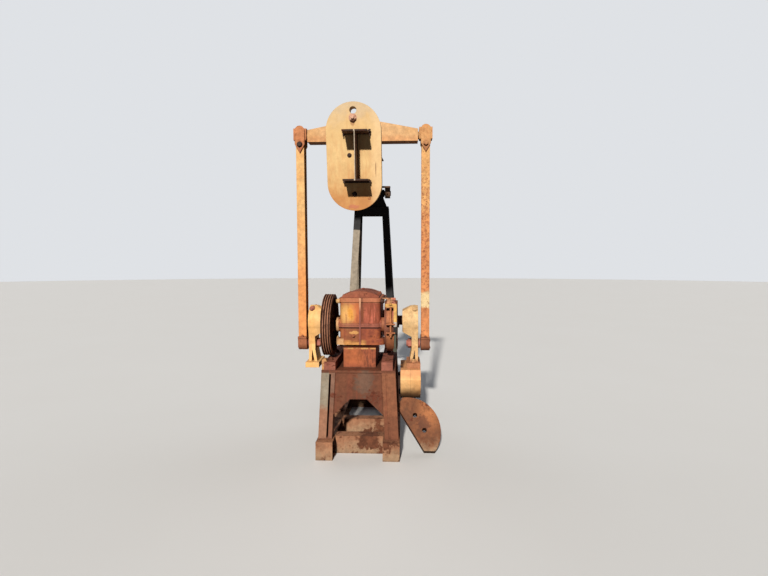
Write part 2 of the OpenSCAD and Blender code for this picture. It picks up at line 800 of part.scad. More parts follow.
// One crank casting, on the right-hand side
module crank() {
    fork_top = crank_throw + crank_fork_down;
    fork_low = crank_foot_r - crank_foot_t;
    foot_x0 = crank_x + crank_foot_out - crank_foot_w;
    difference() {
        union() {
            intersection() {
                // Seen from the tail: boss, sloping shoulder, arm and the two legs to the foot
                translate([0, -crank_foot_l, 0]) slab_y(2 * crank_foot_l) difference() {
                    polygon([
                        [crank_hub_x, crank_boss_r], [crank_arm_in, crank_hub_r], [crank_x, crank_hub_r],
                        [crank_x, -fork_low - eps], [foot_x0 + crank_leg_t, -fork_low - eps],
                        [crank_arm_in, -fork_top], [crank_arm_in, -crank_hub_r], [crank_hub_x, -crank_boss_r]
                    ]);
                    polygon([
                        [(crank_arm_in + crank_x) / 2, -fork_top], [crank_x - crank_leg_t, -fork_low - 2 * eps],
                        [foot_x0 + 2 * crank_leg_t, -fork_low - 2 * eps]
                    ]);
                }
                // Seen from the side: round hub tapering to the wrist pin and out to the foot
                translate([crank_hub_x - eps, 0, 0]) slab_x(crank_x - crank_hub_x + 2 * eps) {
                    circle(crank_hub_r, $fn = 128);
                    polygon([
                        [-crank_hub_r, 0], [crank_hub_r, 0], [crank_arm_r, -crank_throw],
                        [crank_leg_l / 2, -crank_foot_r], [-crank_leg_l / 2, -crank_foot_r],
                        [-crank_arm_r, -crank_throw]
                    ]);
                }
            }
            translate([foot_x0, -crank_foot_l / 2, -crank_foot_r])
                cube([crank_foot_w, crank_foot_l, crank_foot_t]);
        }
        translate([crank_hub_x - eps, 0, 0]) rod_x(crankshaft_r + key_fit, crank_x);
        translate([0, 0, -crank_throw]) rod_x(wrist_r + key_fit, 2 * crank_x);
        // Clamping slot from the bore up through the hub
        translate([0, -crank_slot_w / 2, crankshaft_r / 2]) cube([crank_x + eps, crank_slot_w, crank_hub_r]);
    }
}

module right_crank() {
    color("burlywood") crank_frame() crank();
}

module left_crank() {
    color("burlywood") crank_frame() mirror([1, 0, 0]) crank();
}

// Wrist pin with its collar and nut, on the right-hand side
module wrist_pin() {
    x0 = crank_arm_in - wrist_nut_l - wrist_thread_l;
    x1 = wrist_pin_x;
    crank_frame() translate([0, 0, -crank_throw]) {
        translate([x0, 0, 0]) rod_x(wrist_r, x1 - x0);
        translate([crank_arm_in - wrist_nut_l, 0, 0]) rotate([0, 90, 0])
            cylinder(d = wrist_nut_d, h = wrist_nut_l, $fn = 6);
        translate([crank_x, 0, 0]) rod_x(wrist_collar_r, x1 - crank_x);
    }
}

module right_wrist_pin() {
    color("rosybrown") wrist_pin();
}

module left_wrist_pin() {
    color("rosybrown") mirror([1, 0, 0]) wrist_pin();
}

// Outline of a counterweight: flat top on y = 0, sloping sides and a round crown below
module weight_outline(h) {
    half = weight_w / 2;
    half_top = weight_top_w / 2;
    crown = h - weight_side;
    r = (half * half + crown * crown) / (2 * crown);
    low_half = half_top + (half - half_top) * 2 * h / weight_side;
    difference() {
        intersection() {
            translate([0, r - h]) circle(r, $fn = 128);
            polygon([
                [-half_top, 0], [-low_half, -2 * h], [low_half, -2 * h], [half_top, 0]
            ]);
        }
        for (y = [-weight_hole_gap / 2, weight_hole_gap / 2]) translate([y, -weight_hole_down])
            circle(weight_hole_r);
    }
}

// Two slabs, face to face, hung under the crank's foot
module crank_counterweight() {
    color("sandybrown") crank_frame() translate([weight_x - weight_t, 0, -crank_foot_r])
        slab_x(weight_t) weight_outline(weight_h);
}

// A slab taken off the left-hand crank. It stands on one sloping side and leans forward
module loose_counterweight() {
    stand_a = atan2(weight_side, (weight_w - weight_top_w) / 2);
    color("sienna") translate([loose_x, -loose_back, 0]) rotate([-loose_lean, 0, 0])
        translate([0, -loose_t, 0]) slab_y(loose_t)
            rotate(-stand_a) translate([-weight_top_w / 2, 0]) mirror([0, 1]) weight_outline(loose_h);
}

// Drive shaft, sheave and brake

module drive_shaft() {
    color("saddlebrown") drive_frame() translate([-sheave_x - drive_stub, 0, 0])
        rod_x(drive_r, sheave_x + drum_x + 2 * drive_stub);
}

module sheave() {
    pitch = sheave_w / grooves;
    land = pitch / 6;
    floor_w = pitch / 4;
    inner = sheave_r - groove_d - sheave_rim_t;
    hole_mid = (inner + sheave_hub_r) / 2;
    // Half outline in radius and width: rim with V-grooves, thin web and hub
    outline = concat(
        [[sheave_r, 0]],
        [for (i = [0 : grooves - 1]) each [
            [sheave_r, i * pitch + land], [sheave_r - groove_d, (i + 0.5) * pitch - floor_w / 2],
            [sheave_r - groove_d, (i + 0.5) * pitch + floor_w / 2], [sheave_r, (i + 1) * pitch - land]
        ]],
        [[sheave_r, sheave_w], [inner, sheave_w], [inner, (sheave_w + sheave_web_t) / 2],
         [sheave_hub_r, (sheave_w + sheave_web_t) / 2], [sheave_hub_r, sheave_w],
         [drive_r + key_fit, sheave_w], [drive_r + key_fit, 0], [sheave_hub_r, 0],
         [sheave_hub_r, (sheave_w - sheave_web_t) / 2], [inner, (sheave_w - sheave_web_t) / 2], [inner, 0]]
    );
    color("saddlebrown") drive_frame() translate([-sheave_x, 0, 0]) rotate([0, 90, 0]) difference() {
        rotate_extrude($fn = 128) polygon(outline);
        for (i = [0 : sheave_holes - 1]) rotate(i * 360 / sheave_holes) translate([hole_mid, 0, -eps])
            cylinder(r = sheave_hole_r, h = sheave_w + 2 * eps);
    }
}

module brake_drum() {
    inner = drum_r - drum_rim_t;
    outline = [
        [drive_r + key_fit, 0], [sheave_hub_r, 0], [sheave_hub_r, drum_w - drum_rim_t],
        [inner, drum_w - drum_rim_t], [inner, 0], [drum_r, 0], [drum_r, drum_w], [drive_r + key_fit, drum_w]
    ];
    color("chocolate") drive_frame() translate([drum_x - drum_w, 0, 0]) rotate([0, 90, 0])
        rotate_extrude($fn = 128) polygon(outline);
}

// Band round the drum, open at the rear between two lugs, on a bracket from the gear case
module brake_band() {
    r = drum_r + band_gap;
    x0 = drum_x - (drum_w + band_w) / 2;
    rise = r + band_t + band_lug_t - eps - case_top_h + cover_flange_t;
    color("chocolate") drive_frame() {
        difference() {
            translate([x0, 0, 0]) {
                rod_x(r + band_t, band_w);
                for (z = [-band_mouth / 2 - band_lug_t, band_mouth / 2])
                    translate([0, -r - band_lug_l, z]) cube([band_w, band_lug_l + band_t, band_lug_t]);
            }
            translate([x0 - eps, 0, 0]) rod_x(r, band_w + 2 * eps);
            translate([x0 - eps, -2 * r, -band_mouth / 2]) cube([band_w + 2 * eps, 2 * r, band_mouth]);
            translate([drum_x - drum_w / 2, -r - lever_out, -r]) cylinder(r = lever_r + lever_fit, h = 2 * r);
        }
        // Anchor bracket from the case's top flange to the top of the band
        translate([case_flange_w / 2, -band_bracket_w / 2, r + band_t - eps])
            cube([x0 + band_w - case_flange_w / 2, band_bracket_w, band_lug_t]);
        translate([case_flange_w / 2, -band_bracket_w / 2, case_top_h - cover_flange_t])
            cube([band_lug_t, band_bracket_w, rise]);
    }
}

// Rod through the band's lugs, with a nut below and a collar above
module brake_lever() {
    low = -band_mouth / 2 - band_lug_t;
    nut_h = 2 * lever_r;
    color("peru") drive_frame() translate([drum_x - drum_w / 2, -drum_r - band_gap - lever_out, 0]) {
        translate([0, 0, low - 2 * nut_h]) cylinder(r = lever_r, h = lever_h - low + 2 * nut_h);
        translate([0, 0, low - nut_h]) cylinder(r = 2 * lever_r, h = nut_h, $fn = 6);
        translate([0, 0, -low]) cylinder(r = 2 * lever_r, h = nut_h / 2);
    }
}

// Walking beam

module walking_beam() {
    color("peru") beam_frame() translate([0, -beam_tail, beam_seat])
        slab_y(beam_tail + beam_front) i_section(beam_h, beam_w, beam_flange_t, beam_web_t);
}

// Oval slab threaded over the beam's tail
module tail_counterweight() {
    y = -beam_tail + oval_in;
    r = oval_w / 2;
    straight = oval_h - oval_w;
    slot_h = beam_h + 2 * oval_fit;
    color("navajowhite") beam_frame() difference() {
        translate([-oval_left, y, beam_seat + beam_h / 2]) rotate([0, -oval_lean, 0]) difference() {
            slab_y(oval_t) {
                translate([-r, -straight / 2]) square([oval_w, straight]);
                for (s = [-1, 1]) translate([0, s * straight / 2]) circle(r, $fn = 128);
            }
            translate([0, -eps, oval_h / 2 - lift_hole_down]) rotate([-90, 0, 0])
                cylinder(r = lift_hole_r, h = oval_t + 2 * eps);
        }
        translate([0, y - eps, beam_seat - oval_fit]) slab_y(oval_t + 2 * eps)
            i_section(slot_h, beam_w + 2 * oval_fit, beam_flange_t + 2 * oval_fit, beam_web_t + 2 * oval_fit);
    }
}

// Bars across the flanges that hold the oval slab, before and behind it
module tail_clamps() {
    y0 = -beam_tail + oval_in;
    color("dimgray") beam_frame() for (y = [y0 - clamp_w, y0 + oval_t]) {
        translate([-clamp_l / 2, y, beam_seat + beam_h]) cube([clamp_l, clamp_w, clamp_t]);
        translate([-clamp_l / 2, y, beam_seat - clamp_t]) cube([clamp_l, clamp_w, clamp_t]);
    }
}

// Pillow block on top of the beam for the equalizer's shaft
module tail_bearing() {
    base = beam_seat + beam_h;
    color("peru") beam_frame() translate([-tail_bearing_l / 2, tail_y, 0]) difference() {
        union() {
            translate([0, 0, tail_up]) rod_x(tail_bearing_r, tail_bearing_l);
            translate([0, -tail_bearing_r, base]) cube([tail_bearing_l, 2 * tail_bearing_r, tail_bearing_up]);
            translate([0, -tail_base_l / 2, base]) cube([tail_bearing_l, tail_base_l, tail_base_t]);
        }
        translate([-eps, 0, tail_up]) rod_x(tail_shaft_r + run_fit, tail_bearing_l + 2 * eps);
        translate([-eps, -tail_base_l, 0]) cube([tail_bearing_l + 2 * eps, 2 * tail_base_l, base]);
    }
}

// Plate under the beam with a bearing at each end
module saddle() {
    plate_x = saddle_block_x + saddle_block_w;
    color("tan") beam_frame() difference() {
        union() {
            translate([-plate_x, -saddle_l / 2, beam_seat - saddle_t]) cube([2 * plate_x, saddle_l, saddle_t]);
            both_sides() translate([saddle_block_x, 0, 0]) {
                rod_x(saddle_block_r, saddle_block_w);
                translate([0, -saddle_block_r, 0]) cube([saddle_block_w, 2 * saddle_block_r, beam_seat - saddle_t + eps]);
            }
        }
        translate([-plate_x - eps, 0, 0]) rod_x(saddle_shaft_r + run_fit, 2 * plate_x + 2 * eps);
        translate([-saddle_block_x, -saddle_l, -saddle_block_r - eps])
            cube([2 * saddle_block_x, 2 * saddle_l, saddle_block_r + beam_seat - saddle_t + eps]);
    }
}

// Built-up head at the well end: two side plates, a curved face and a back plate
module horsehead() {
    top = [head_r * cos(head_up_a), head_r * sin(head_up_a)];
    low = [head_r * cos(head_down_a), -head_r * sin(head_down_a)];
    module side() {
        intersection() {
            circle(head_r, $fn = 180);
            polygon([
                [beam_front, beam_seat], [low[0] - head_rim, low[1]], [2 * low[0], 2 * low[1]],
                [2 * head_r, 0], [2 * top[0], 2 * top[1]], [top[0] - head_rim, top[1]],
                [beam_front, beam_seat + beam_h]
            ]);
        }
    }
    // The open panel between the face, the back and the rims, on each side of the web
    module hollow() {
        back = beam_front + head_face_t;
        intersection() {
            circle(head_r - head_face_t, $fn = 180);
            polygon([
                [back, beam_seat + head_rim], [low[0] - head_rim, low[1] + head_rim],
                [2 * low[0], 2 * low[1] + head_rim], [2 * head_r, 0],
                [2 * top[0], 2 * top[1] - 2 * head_rim], [top[0] - head_rim, top[1] - head_rim],
                [back, beam_seat + beam_h - head_rim / 2]
            ]);
        }
    }
    color("tan") beam_frame() difference() {
        translate([-head_face_w / 2, 0, 0]) slab_x(head_face_w) side();
        for (x = [-head_face_w / 2 - eps, head_side_t / 2]) translate([x, 0, 0])
            slab_x((head_face_w - head_side_t) / 2 + eps) hollow();
        translate([-head_face_w, top[0] - head_rim / 2, top[1] - head_rim / 2])
            rod_x(hanger_hole_r, 2 * head_face_w);
    }
}

// Equalizer and pitmans

module equalizer() {
    color("sandybrown") pitman_frame() difference() {
        union() {
            translate([0, -equalizer_t / 2, 0]) slab_y(equalizer_t) polygon([
                [-equalizer_x, -equalizer_low], [equalizer_x, -equalizer_low], [equalizer_x, equalizer_end_h],
                [equalizer_level / 2, equalizer_mid_h], [-equalizer_level / 2, equalizer_mid_h],
                [-equalizer_x, equalizer_end_h]
            ]);
            translate([-pitman_x + head_w / 2, 0, 0]) rod_x(equalizer_stub_r, 2 * pitman_x - head_w);
        }
        translate([-arch_x, 0, 0]) rod_x(tail_bearing_r + arch_gap, 2 * arch_x);
        translate([-arch_x, -equalizer_t, -equalizer_low - eps])
            cube([2 * arch_x, 2 * equalizer_t, equalizer_low + eps]);
        translate([-tail_shaft_x, 0, 0]) rod_x(tail_shaft_r + key_fit, 2 * tail_shaft_x);
    }
}

module equalizer_shaft() {
    color("dimgray") pitman_frame() translate([-tail_shaft_x, 0, 0]) rod_x(tail_shaft_r, 2 * tail_shaft_x);
}

// One pitman, on the right-hand side: a rolled section with its web front to back
module pitman() {
    top = head_pin_down / 2;
    pitman_frame() translate([pitman_x, -pitman_d / 2, -pitman_l + wrist_box_r])
        linear_extrude(pitman_l - wrist_box_r - top) i_section(pitman_d, pitman_w, pitman_t, pitman_t);
}

module right_pitman() {
    color("sandybrown") pitman();
}

module left_pitman() {
    color("sandybrown") mirror([1, 0, 0]) pitman();
}

// One pitman head: a block over the pitman's top and two shield-shaped straps down its flanges
module pitman_head() {
    block_low = head_pin_down / 2;
    strap_in = pitman_d / 2;
    round_r = strap_w / 2;
    pitman_frame() translate([pitman_x, 0, 0]) difference() {
        union() {
            translate([-head_w / 2, -strap_in, -block_low]) cube([head_w, pitman_d, head_top + block_low - round_r / 2]);
            for (y = [-strap_in - strap_t, strap_in]) translate([0, y, 0]) slab_y(strap_t) {
                translate([0, head_top - round_r]) circle(round_r);
                polygon([
                    [-round_r, head_top - round_r], [round_r, head_top - round_r],
                    [round_r, -head_pin_down], [0, -head_tip], [-round_r, -head_pin_down]
                ]);
            }
        }
        translate([0, -pitman_d, -head_pin_down]) rotate([-90, 0, 0]) cylinder(r = head_pin_r, h = 2 * pitman_d);
    }
}

module right_pitman_head() {
    color("chocolate") pitman_head();
}

module left_pitman_head() {
    color("chocolate") mirror([1, 0, 0]) pitman_head();
}

// Box round a wrist bearing, with a blind bore that faces the crank
module wrist_bearing() {
    foot_z = wrist_box_r - wrist_foot_t;
    pitman_frame() translate([wrist_box_x, 0, -pitman_l]) difference() {
        union() {
            rod_x(wrist_box_r, wrist_box_w);
            translate([0, -wrist_box_r, 0]) cube([wrist_box_w, 2 * wrist_box_r, foot_z + eps]);
            translate([0, -wrist_foot_l / 2, foot_z]) cube([wrist_box_w, wrist_foot_l, wrist_foot_t]);
        }
        translate([-eps, 0, 0]) rod_x(wrist_r + wrist_play, wrist_bore_l);
    }
}

module right_wrist_bearing() {
    color("brown") wrist_bearing();
}

module left_wrist_bearing() {
    color("brown") mirror([1, 0, 0]) wrist_bearing();
}

// Post

// One angle-section leg from its foot to its head, ends cut level
module post_leg(foot, head, flip) {
    run = head - foot;
    lean_x = -asin(run[1] / norm(run));
    lean_y = atan2(run[0], run[2]);
    pad_y = foot[1] + (1 - 2 * flip) * post_leg_w / 2;
    intersection() {
        translate(foot) rotate([lean_x, lean_y, 0]) translate([0, 0, -post_leg_w])
            linear_extrude(norm(run) + 2 * post_leg_w) mirror([0, flip]) {
                translate([-post_leg_w, 0]) square([post_leg_w, post_leg_t]);
                translate([-post_leg_t, 0]) square([post_leg_t, post_leg_w]);
            }
        translate([-post_foot_w, 0, foot[2]]) cube([2 * post_foot_w, 4 * saddle_y, run[2]]);
    }
    translate([rail_x - rail_w / 2, pad_y - post_pad_l / 2, skid_h]) cube([rail_w, post_pad_l, post_pad_t]);
}

// The rear and front legs of the right-hand side
module post_legs() {
    foot_x = post_foot_w / 2;
    head_x = post_top_w / 2;
    post_leg([foot_x, saddle_y - post_rear, post_z0], [head_x, saddle_y - post_head_rear, post_z1], 0);
    post_leg([foot_x, saddle_y + post_front, post_z0], [head_x, saddle_y + post_head_front, post_z1], 1);
}

module right_post_legs() {
    color("tan") post_legs();
}

module left_post_legs() {
    color("tan") mirror([1, 0, 0]) post_legs();
}

// Share of the way up a leg at a height, and where the legs' outer corners are there
function leg_share(z) = (z - post_z0) / (post_z1 - post_z0);
function leg_half(z) = (post_foot_w + (post_top_w - post_foot_w) * leg_share(z)) / 2;
function rear_leg_y(z) = saddle_y - post_rear + (post_rear - post_head_rear) * leg_share(z);
function front_leg_y(z) = saddle_y + post_front - (post_front - post_head_front) * leg_share(z);

// Flat bars across the rear and front legs, at the head and low down
module post_cross_bars() {
    rear_lean = atan2(post_rear - post_head_rear, post_z1 - post_z0);
    front_lean = atan2(post_front - post_head_front, post_z1 - post_z0);
    color("tan") for (z = [skid_h + low_bar_z, post_z1 - cross_bar_h - cross_bar_t]) {
        half = leg_half(z + cross_bar_h) - cross_bar_in;
        translate([-half, rear_leg_y(z), z]) rotate([-rear_lean, 0, 0])
            translate([0, -cross_bar_t - seat_gap, 0]) cube([2 * half, cross_bar_t, cross_bar_h]);
        translate([-half, front_leg_y(z), z]) rotate([front_lean, 0, 0])
            translate([0, seat_gap, 0]) cube([2 * half, cross_bar_t, cross_bar_h]);
    }
}

module post_cap() {
    y0 = saddle_y - post_head_rear - cross_bar_t;
    y1 = saddle_y + post_head_front + cross_bar_t;
    color("tan") translate([-post_top_w / 2, y0, post_z1]) cube([post_top_w, y1 - y0, cap_plate_t]);
}

// Tapered head on the cap plate, carrying the saddle shaft in a hub
module post_head() {
    rise = saddle_z - cap_z;
    color("darkslategray") translate([0, saddle_y, cap_z]) difference() {
        union() {
            for (y = [-post_head_d / 2, post_head_d / 2 - post_head_t]) translate([0, y, 0]) slab_y(post_head_t)
                polygon([
                    [-post_head_w / 2, 0], [post_head_w / 2, 0], [post_head_top_w / 2, rise - post_hub_r / 2],
                    [-post_head_top_w / 2, rise - post_hub_r / 2]
                ]);
            translate([-post_head_top_w / 2, -post_head_d / 2, rise - post_hub_r])
                cube([post_head_top_w, post_head_d, post_hub_r / 2]);
            translate([-post_hub_x, 0, rise]) rod_x(post_hub_r, 2 * post_hub_x);
            translate([-post_head_t / 2, -post_head_d / 2, 0]) cube([post_head_t, post_head_d, rise - post_hub_r / 2]);
        }
        translate([-post_hub_x - eps, 0, rise]) rod_x(saddle_shaft_r + key_fit, 2 * post_hub_x + 2 * eps);
    }
}

module saddle_shaft() {
    color("dimgray") translate([-saddle_shaft_x, saddle_y, saddle_z]) rod_x(saddle_shaft_r, 2 * saddle_shaft_x);
}

skid_rails();
skid_cross_beams();
left_stand_legs();
right_stand_legs();
stand_end_plates();
stand_top_plate();
stand_top_rails();
pedestal();
gear_case_base();
gear_case_top();
gear_case_cover();
bearing_caps();
brake_band();
brake_lever();
left_post_legs();
right_post_legs();
post_cross_bars();
post_cap();
post_head();
saddle_shaft();
loose_counterweight();
crankshaft();
left_crank();
right_crank();
left_wrist_pin();
right_wrist_pin();
crank_counterweight();
drive_shaft();
sheave();
brake_drum();
walking_beam();
tail_counterweight();
tail_clamps();
tail_bearing();
saddle();
horsehead();
equalizer();
equalizer_shaft();
left_pitman();
right_pitman();
left_pitman_head();
right_pitman_head();
left_wrist_bearing();
right_wrist_bearing();
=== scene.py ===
import math

import bmesh
import bpy
from mathutils import Matrix, Vector


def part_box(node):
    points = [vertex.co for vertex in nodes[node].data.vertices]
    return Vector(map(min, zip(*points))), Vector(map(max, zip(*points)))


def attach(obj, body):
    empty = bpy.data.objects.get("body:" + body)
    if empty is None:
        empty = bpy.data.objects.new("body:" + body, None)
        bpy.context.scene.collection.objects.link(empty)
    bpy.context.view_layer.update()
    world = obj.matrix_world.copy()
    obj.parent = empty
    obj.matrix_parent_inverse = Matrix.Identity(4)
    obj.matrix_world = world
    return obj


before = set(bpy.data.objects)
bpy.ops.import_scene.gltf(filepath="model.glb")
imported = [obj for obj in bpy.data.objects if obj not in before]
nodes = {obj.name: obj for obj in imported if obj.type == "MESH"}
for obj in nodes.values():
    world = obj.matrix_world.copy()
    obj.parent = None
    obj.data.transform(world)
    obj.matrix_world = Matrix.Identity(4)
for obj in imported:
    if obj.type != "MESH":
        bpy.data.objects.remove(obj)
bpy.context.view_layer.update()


# The skid: two rolled steel rails with four cross beams between them, cut to length and welded.
# Its paint is long gone, and the weather has turned the steel to dull brown rust with dry dust below.

class Wire:
    """A socket of a finish, used in sums as a number, a colour or a vector."""

    def __init__(self, socket):
        self.socket = socket

    def node(self, kind, settings, inputs, out=0):
        """Adds any node beside this one: its settings first, then the values or links of its sockets."""
        tree = self.socket.id_data
        made = tree.nodes.new(kind)
        for setting, value in settings.items():
            setattr(made, setting, value)
        for name, value in inputs.items():
            if isinstance(value, Wire):
                tree.links.new(value.socket, made.inputs[name])
            else:
                made.inputs[name].default_value = value
        return Wire(made.outputs[out])

    def sum(self, operation, first, second):
        parts = (first, second)
        if any(isinstance(part, Wire) and part.socket.type != "VALUE" for part in parts):
            first, second = [(part,) * 3 if isinstance(part, (int, float)) else part for part in parts]
            return self.node("ShaderNodeVectorMath", {"operation": operation}, {0: first, 1: second})
        return self.node("ShaderNodeMath", {"operation": operation}, {0: first, 1: second})

    def __add__(self, other):
        return self.sum("ADD", self, other)

    def __radd__(self, other):
        return self.sum("ADD", other, self)

    def __sub__(self, other):
        return self.sum("SUBTRACT", self, other)

    def __rsub__(self, other):
        return self.sum("SUBTRACT", other, self)

    def __mul__(self, other):
        return self.sum("MULTIPLY", self, other)

    def __rmul__(self, other):
        return self.sum("MULTIPLY", other, self)

    def between(self, low, high):
        """0 up to `low` and 1 from `high` on, with a soft step between; or the other way round."""
        ends = {"Value": self, "From Min": low, "From Max": high}
        return self.node("ShaderNodeMapRange", {"interpolation_type": "SMOOTHSTEP"}, ends)

    def pick(self, under, top):
        """The colour under it where this mask is 0, and the top colour where it is 1."""
        return self.node("ShaderNodeMix", {"data_type": "RGBA"}, {0: self, 6: under, 7: top}, out=2)

    def along(self, axis):
        return self.node("ShaderNodeSeparateXYZ", {}, {0: self}, out=axis)


def seen(red, green, blue, sunlight=1.3):
    """A colour as it looks in the sun, from 0 to 255, as the paint that gives it."""
    shares = [level / 255.0 for level in (red, green, blue)]
    linear = [s / 12.92 if s <= 0.04045 else ((s + 0.055) / 1.055) ** 2.4 for s in shares]
    return (*[level / sunlight for level in linear], 1.0)


def deeper(colour, share):
    return (*[level * share for level in colour[:3]], 1.0)


def clouds(place, size, detail=4.0, rough=0.6, stretch=(1.0, 1.0, 1.0)):
    """Random clouds of about `size` metres, round a half, squeezed along an axis where stretch is large."""
    where = place * tuple(part / size for part in stretch)
    settings = {"Vector": where, "Scale": 1.0, "Detail": detail, "Roughness": rough}
    return place.node("ShaderNodeTexNoise", {}, settings)


def wander(place, size, reach, detail=5.0):
    """Strays by up to half of `reach` either way, for the ragged edge of a mark."""
    return (clouds(place, size, detail) - 0.5) * reach


def spot(place, middle, reach, ragged=1.6, soft=0.25):
    """A ragged oval round a middle: 1 inside and 0 outside, with a soft edge."""
    away = (place - middle) * tuple(1.0 / part for part in reach)
    far = away.node("ShaderNodeVectorMath", {"operation": "LENGTH"}, {0: away}, out="Value")
    return (far + wander(place, 0.05, ragged)).between(0.95 + soft, 0.95 - soft)


def worn_through(place, face, soft_face, rusted, specks):
    """Where the paint is off and rust shows: in patches, in specks and along worn edges."""
    level = 0.7 - 0.36 * rusted
    patches = clouds(place, 0.16, 10.0, 0.68).between(level, level + 0.07)
    dots = clouds(place, 0.016, 3.0, 0.5).between(0.6, 0.68) * specks
    faces = {0: soft_face, 1: face}
    parallel = face.node("ShaderNodeVectorMath", {"operation": "DOT_PRODUCT"}, faces, out="Value")
    edges = (1.0 - parallel).between(0.01, 0.12) * clouds(place, 0.03, 5.0).between(0.42, 0.58)
    return (patches + dots + edges * 0.8).between(0.0, 1.0)


def weathered(name, paint, faded, rust, rusted, streaks=0.3, specks=0.3, grime_and_shade=0.6, marks=None, pits=0.35,
              mottled=0.45):
    """Old paint, faded and streaked, rusted where it is worn through, and darkened in the corners with
    grime and painted shade.
    Its three colours are given as they look in the sun, from 0 to 255."""
    paint, faded, rust = [seen(*colour) for colour in (paint, faded, rust)]
    finish = bpy.data.materials.new(name)
    finish.use_nodes = True
    tree = finish.node_tree
    place = Wire(tree.nodes.new("ShaderNodeTexCoord").outputs["Object"])
    face = Wire(tree.nodes.new("ShaderNodeNewGeometry").outputs["Normal"])
    soft_face = place.node("ShaderNodeBevel", {"samples": 4}, {"Radius": 0.004})
    colour = clouds(place, 0.3, 6.0).between(0.36, 0.64).pick(paint, faded)
    runs = clouds(place, 0.6, 5.0, 0.6, (24.0, 24.0, 1.0)).between(0.5, 0.7)
    colour = (runs * streaks).pick(colour, deeper(rust, 1.25))
    if marks:
        colour = marks(place, face, colour)
    mottling = clouds(place, 0.05, 8.0, 0.75).between(0.3, 0.7)
    colour = colour * (mottling * mottled + (1.0 - 0.6 * mottled))
    rust_tone = clouds(place, 0.05, 6.0, 0.7).between(0.35, 0.65).pick(rust, deeper(rust, 0.5))
    bare = worn_through(place, face, soft_face, rusted, specks)
    colour = bare.pick(colour, rust_tone)
    # Grime and painted shade: darker rust in corners and recesses, where little open sky reaches.
    open_sky = place.node("ShaderNodeAmbientOcclusion", {"samples": 6}, {"Distance": 0.09}, out="AO")
    corner_grime_and_shade = open_sky.between(0.75, 0.1) * grime_and_shade
    colour = corner_grime_and_shade.pick(colour, deeper(rust, 0.22))
    shader = tree.nodes["Principled BSDF"]
    tree.links.new(colour.socket, shader.inputs["Base Color"])
    dull = bare * 0.2 + clouds(place, 0.02, 3.0) * 0.2 + 0.62
    tree.links.new(dull.socket, shader.inputs["Roughness"])
    shader.inputs["Specular IOR Level"].default_value = 0.28
    grain = clouds(place, 0.006, 4.0) * 0.35
    flaking = bare * clouds(place, 0.018, 6.0, 0.7)
    dents = clouds(place, 0.12, 3.0) * 0.8
    relief = {"Strength": pits, "Distance": 0.004, "Height": grain + flaking + dents, "Normal": soft_face}
    tree.links.new(place.node("ShaderNodeBump", {}, relief).socket, shader.inputs["Normal"])
    return finish


def dress(finish, *names):
    for name in names:
        for slot in nodes[name].material_slots:
            slot.material = finish


def middle(name):
    """The middle of a part's box, which for a shaft lies on its axis."""
    low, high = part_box(name)
    return (low + high) / 2


def turned(shop, foot, way, profile, sides=20, twist=0.0):
    """A turned solid, or a prism with few sides, that stands on `foot` along `way`.
    The profile lists radius and height from the foot up, and starts and ends on the axis."""
    tilt = Vector(way).normalized().to_track_quat("Z", "Y").to_matrix()
    rings = []
    for radius, height in profile:
        angles = [twist + math.tau * step / sides for step in range(sides if radius else 1)]
        corners = [Vector((radius * math.cos(a), radius * math.sin(a), height)) for a in angles]
        rings.append([shop.verts.new(Vector(foot) + tilt @ corner) for corner in corners])
    for low, high in zip(rings, rings[1:]):
        for step in range(sides):
            below = [low[at % len(low)] for at in (step, step + 1)]
            above = [high[at % len(high)] for at in (step + 1, step)]
            corners = list(dict.fromkeys(below + above))
            if len(corners) > 2:
                shop.faces.new(corners)


def weld(shop, start, end, size=0.005):
    """A rippled weld bead along a seam."""
    ripple_l = 0.008
    run = Vector(end) - Vector(start)
    count = max(6, round(run.length / ripple_l))
    ripples = [0.8 + 0.2 * math.sin(5.1 * step) * math.sin(2.3 * step) for step in range(1, count)]
    bead = [(size * ripple, run.length * (step + 1) / count) for step, ripple in enumerate(ripples)]
    turned(shop, start, run, [(0.0, 0.0)] + bead + [(0.0, run.length)], sides=8)


scene = bpy.context.scene


def made(name, shop, finish):
    """Makes one object from what was built in the shop."""
    bmesh.ops.recalc_face_normals(shop, faces=shop.faces)
    mesh = bpy.data.meshes.new(name)
    shop.to_mesh(mesh)
    shop.free()
    mesh.materials.append(finish)
    piece = bpy.data.objects.new(name, mesh)
    scene.collection.objects.link(piece)
    return piece


def fitting(name, shop, body, finish, where=Matrix()):
    """Makes one piece of the machine, which moves with its body."""
    shop.transform(where)
    piece = made(name, shop, finish)
    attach(piece, body)


def dusty_foot(place, face, colour):
    """Dry dust and splashed mud near the ground."""
    low = (place.along("Z") + wander(place, 0.08, 0.25)).between(0.14, 0.0)
    return (low * 0.6).pick(colour, seen(176, 150, 118))


brown_rust = (124, 74, 50)
skid_steel = weathered("skid_steel", (176, 122, 88), (144, 97, 69), brown_rust,
                       rusted=0.55, streaks=0.4, marks=dusty_foot)
dress(skid_steel, "skid_rails", "skid_cross_beams")

cross_beam_ys = (-0.42, 0.0, 0.81, 1.74)
cross_beam_half = 0.05
rail_inner_x = 0.2075
skid_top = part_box("skid_rails")[1].z
skid_seams = bmesh.new()
for side in (-1, 1):
    x = side * rail_inner_x
    for y in cross_beam_ys:
        weld(skid_seams, (x, y - cross_beam_half, skid_top), (x, y + cross_beam_half, skid_top))
fitting("skid_weld_beads", skid_seams, "base", skid_steel)


# The reducer stand: four leaning double legs, each a channel beside an angle, with notched end plates,
# a top plate and two top rails with closed ends, all welded up from mill steel and rusted red.
# The left legs are still grey, and battens close the slots of the right ones.

def grey_primer(place, face, colour):
    """Grey primer that shows in the middle of the rear plate."""
    patch = spot(place, (0.05, -0.54, 0.64), (0.07, 0.05, 0.14), ragged=2.6)
    return (patch * 0.55).pick(dusty_foot(place, face, colour), seen(117, 95, 79))


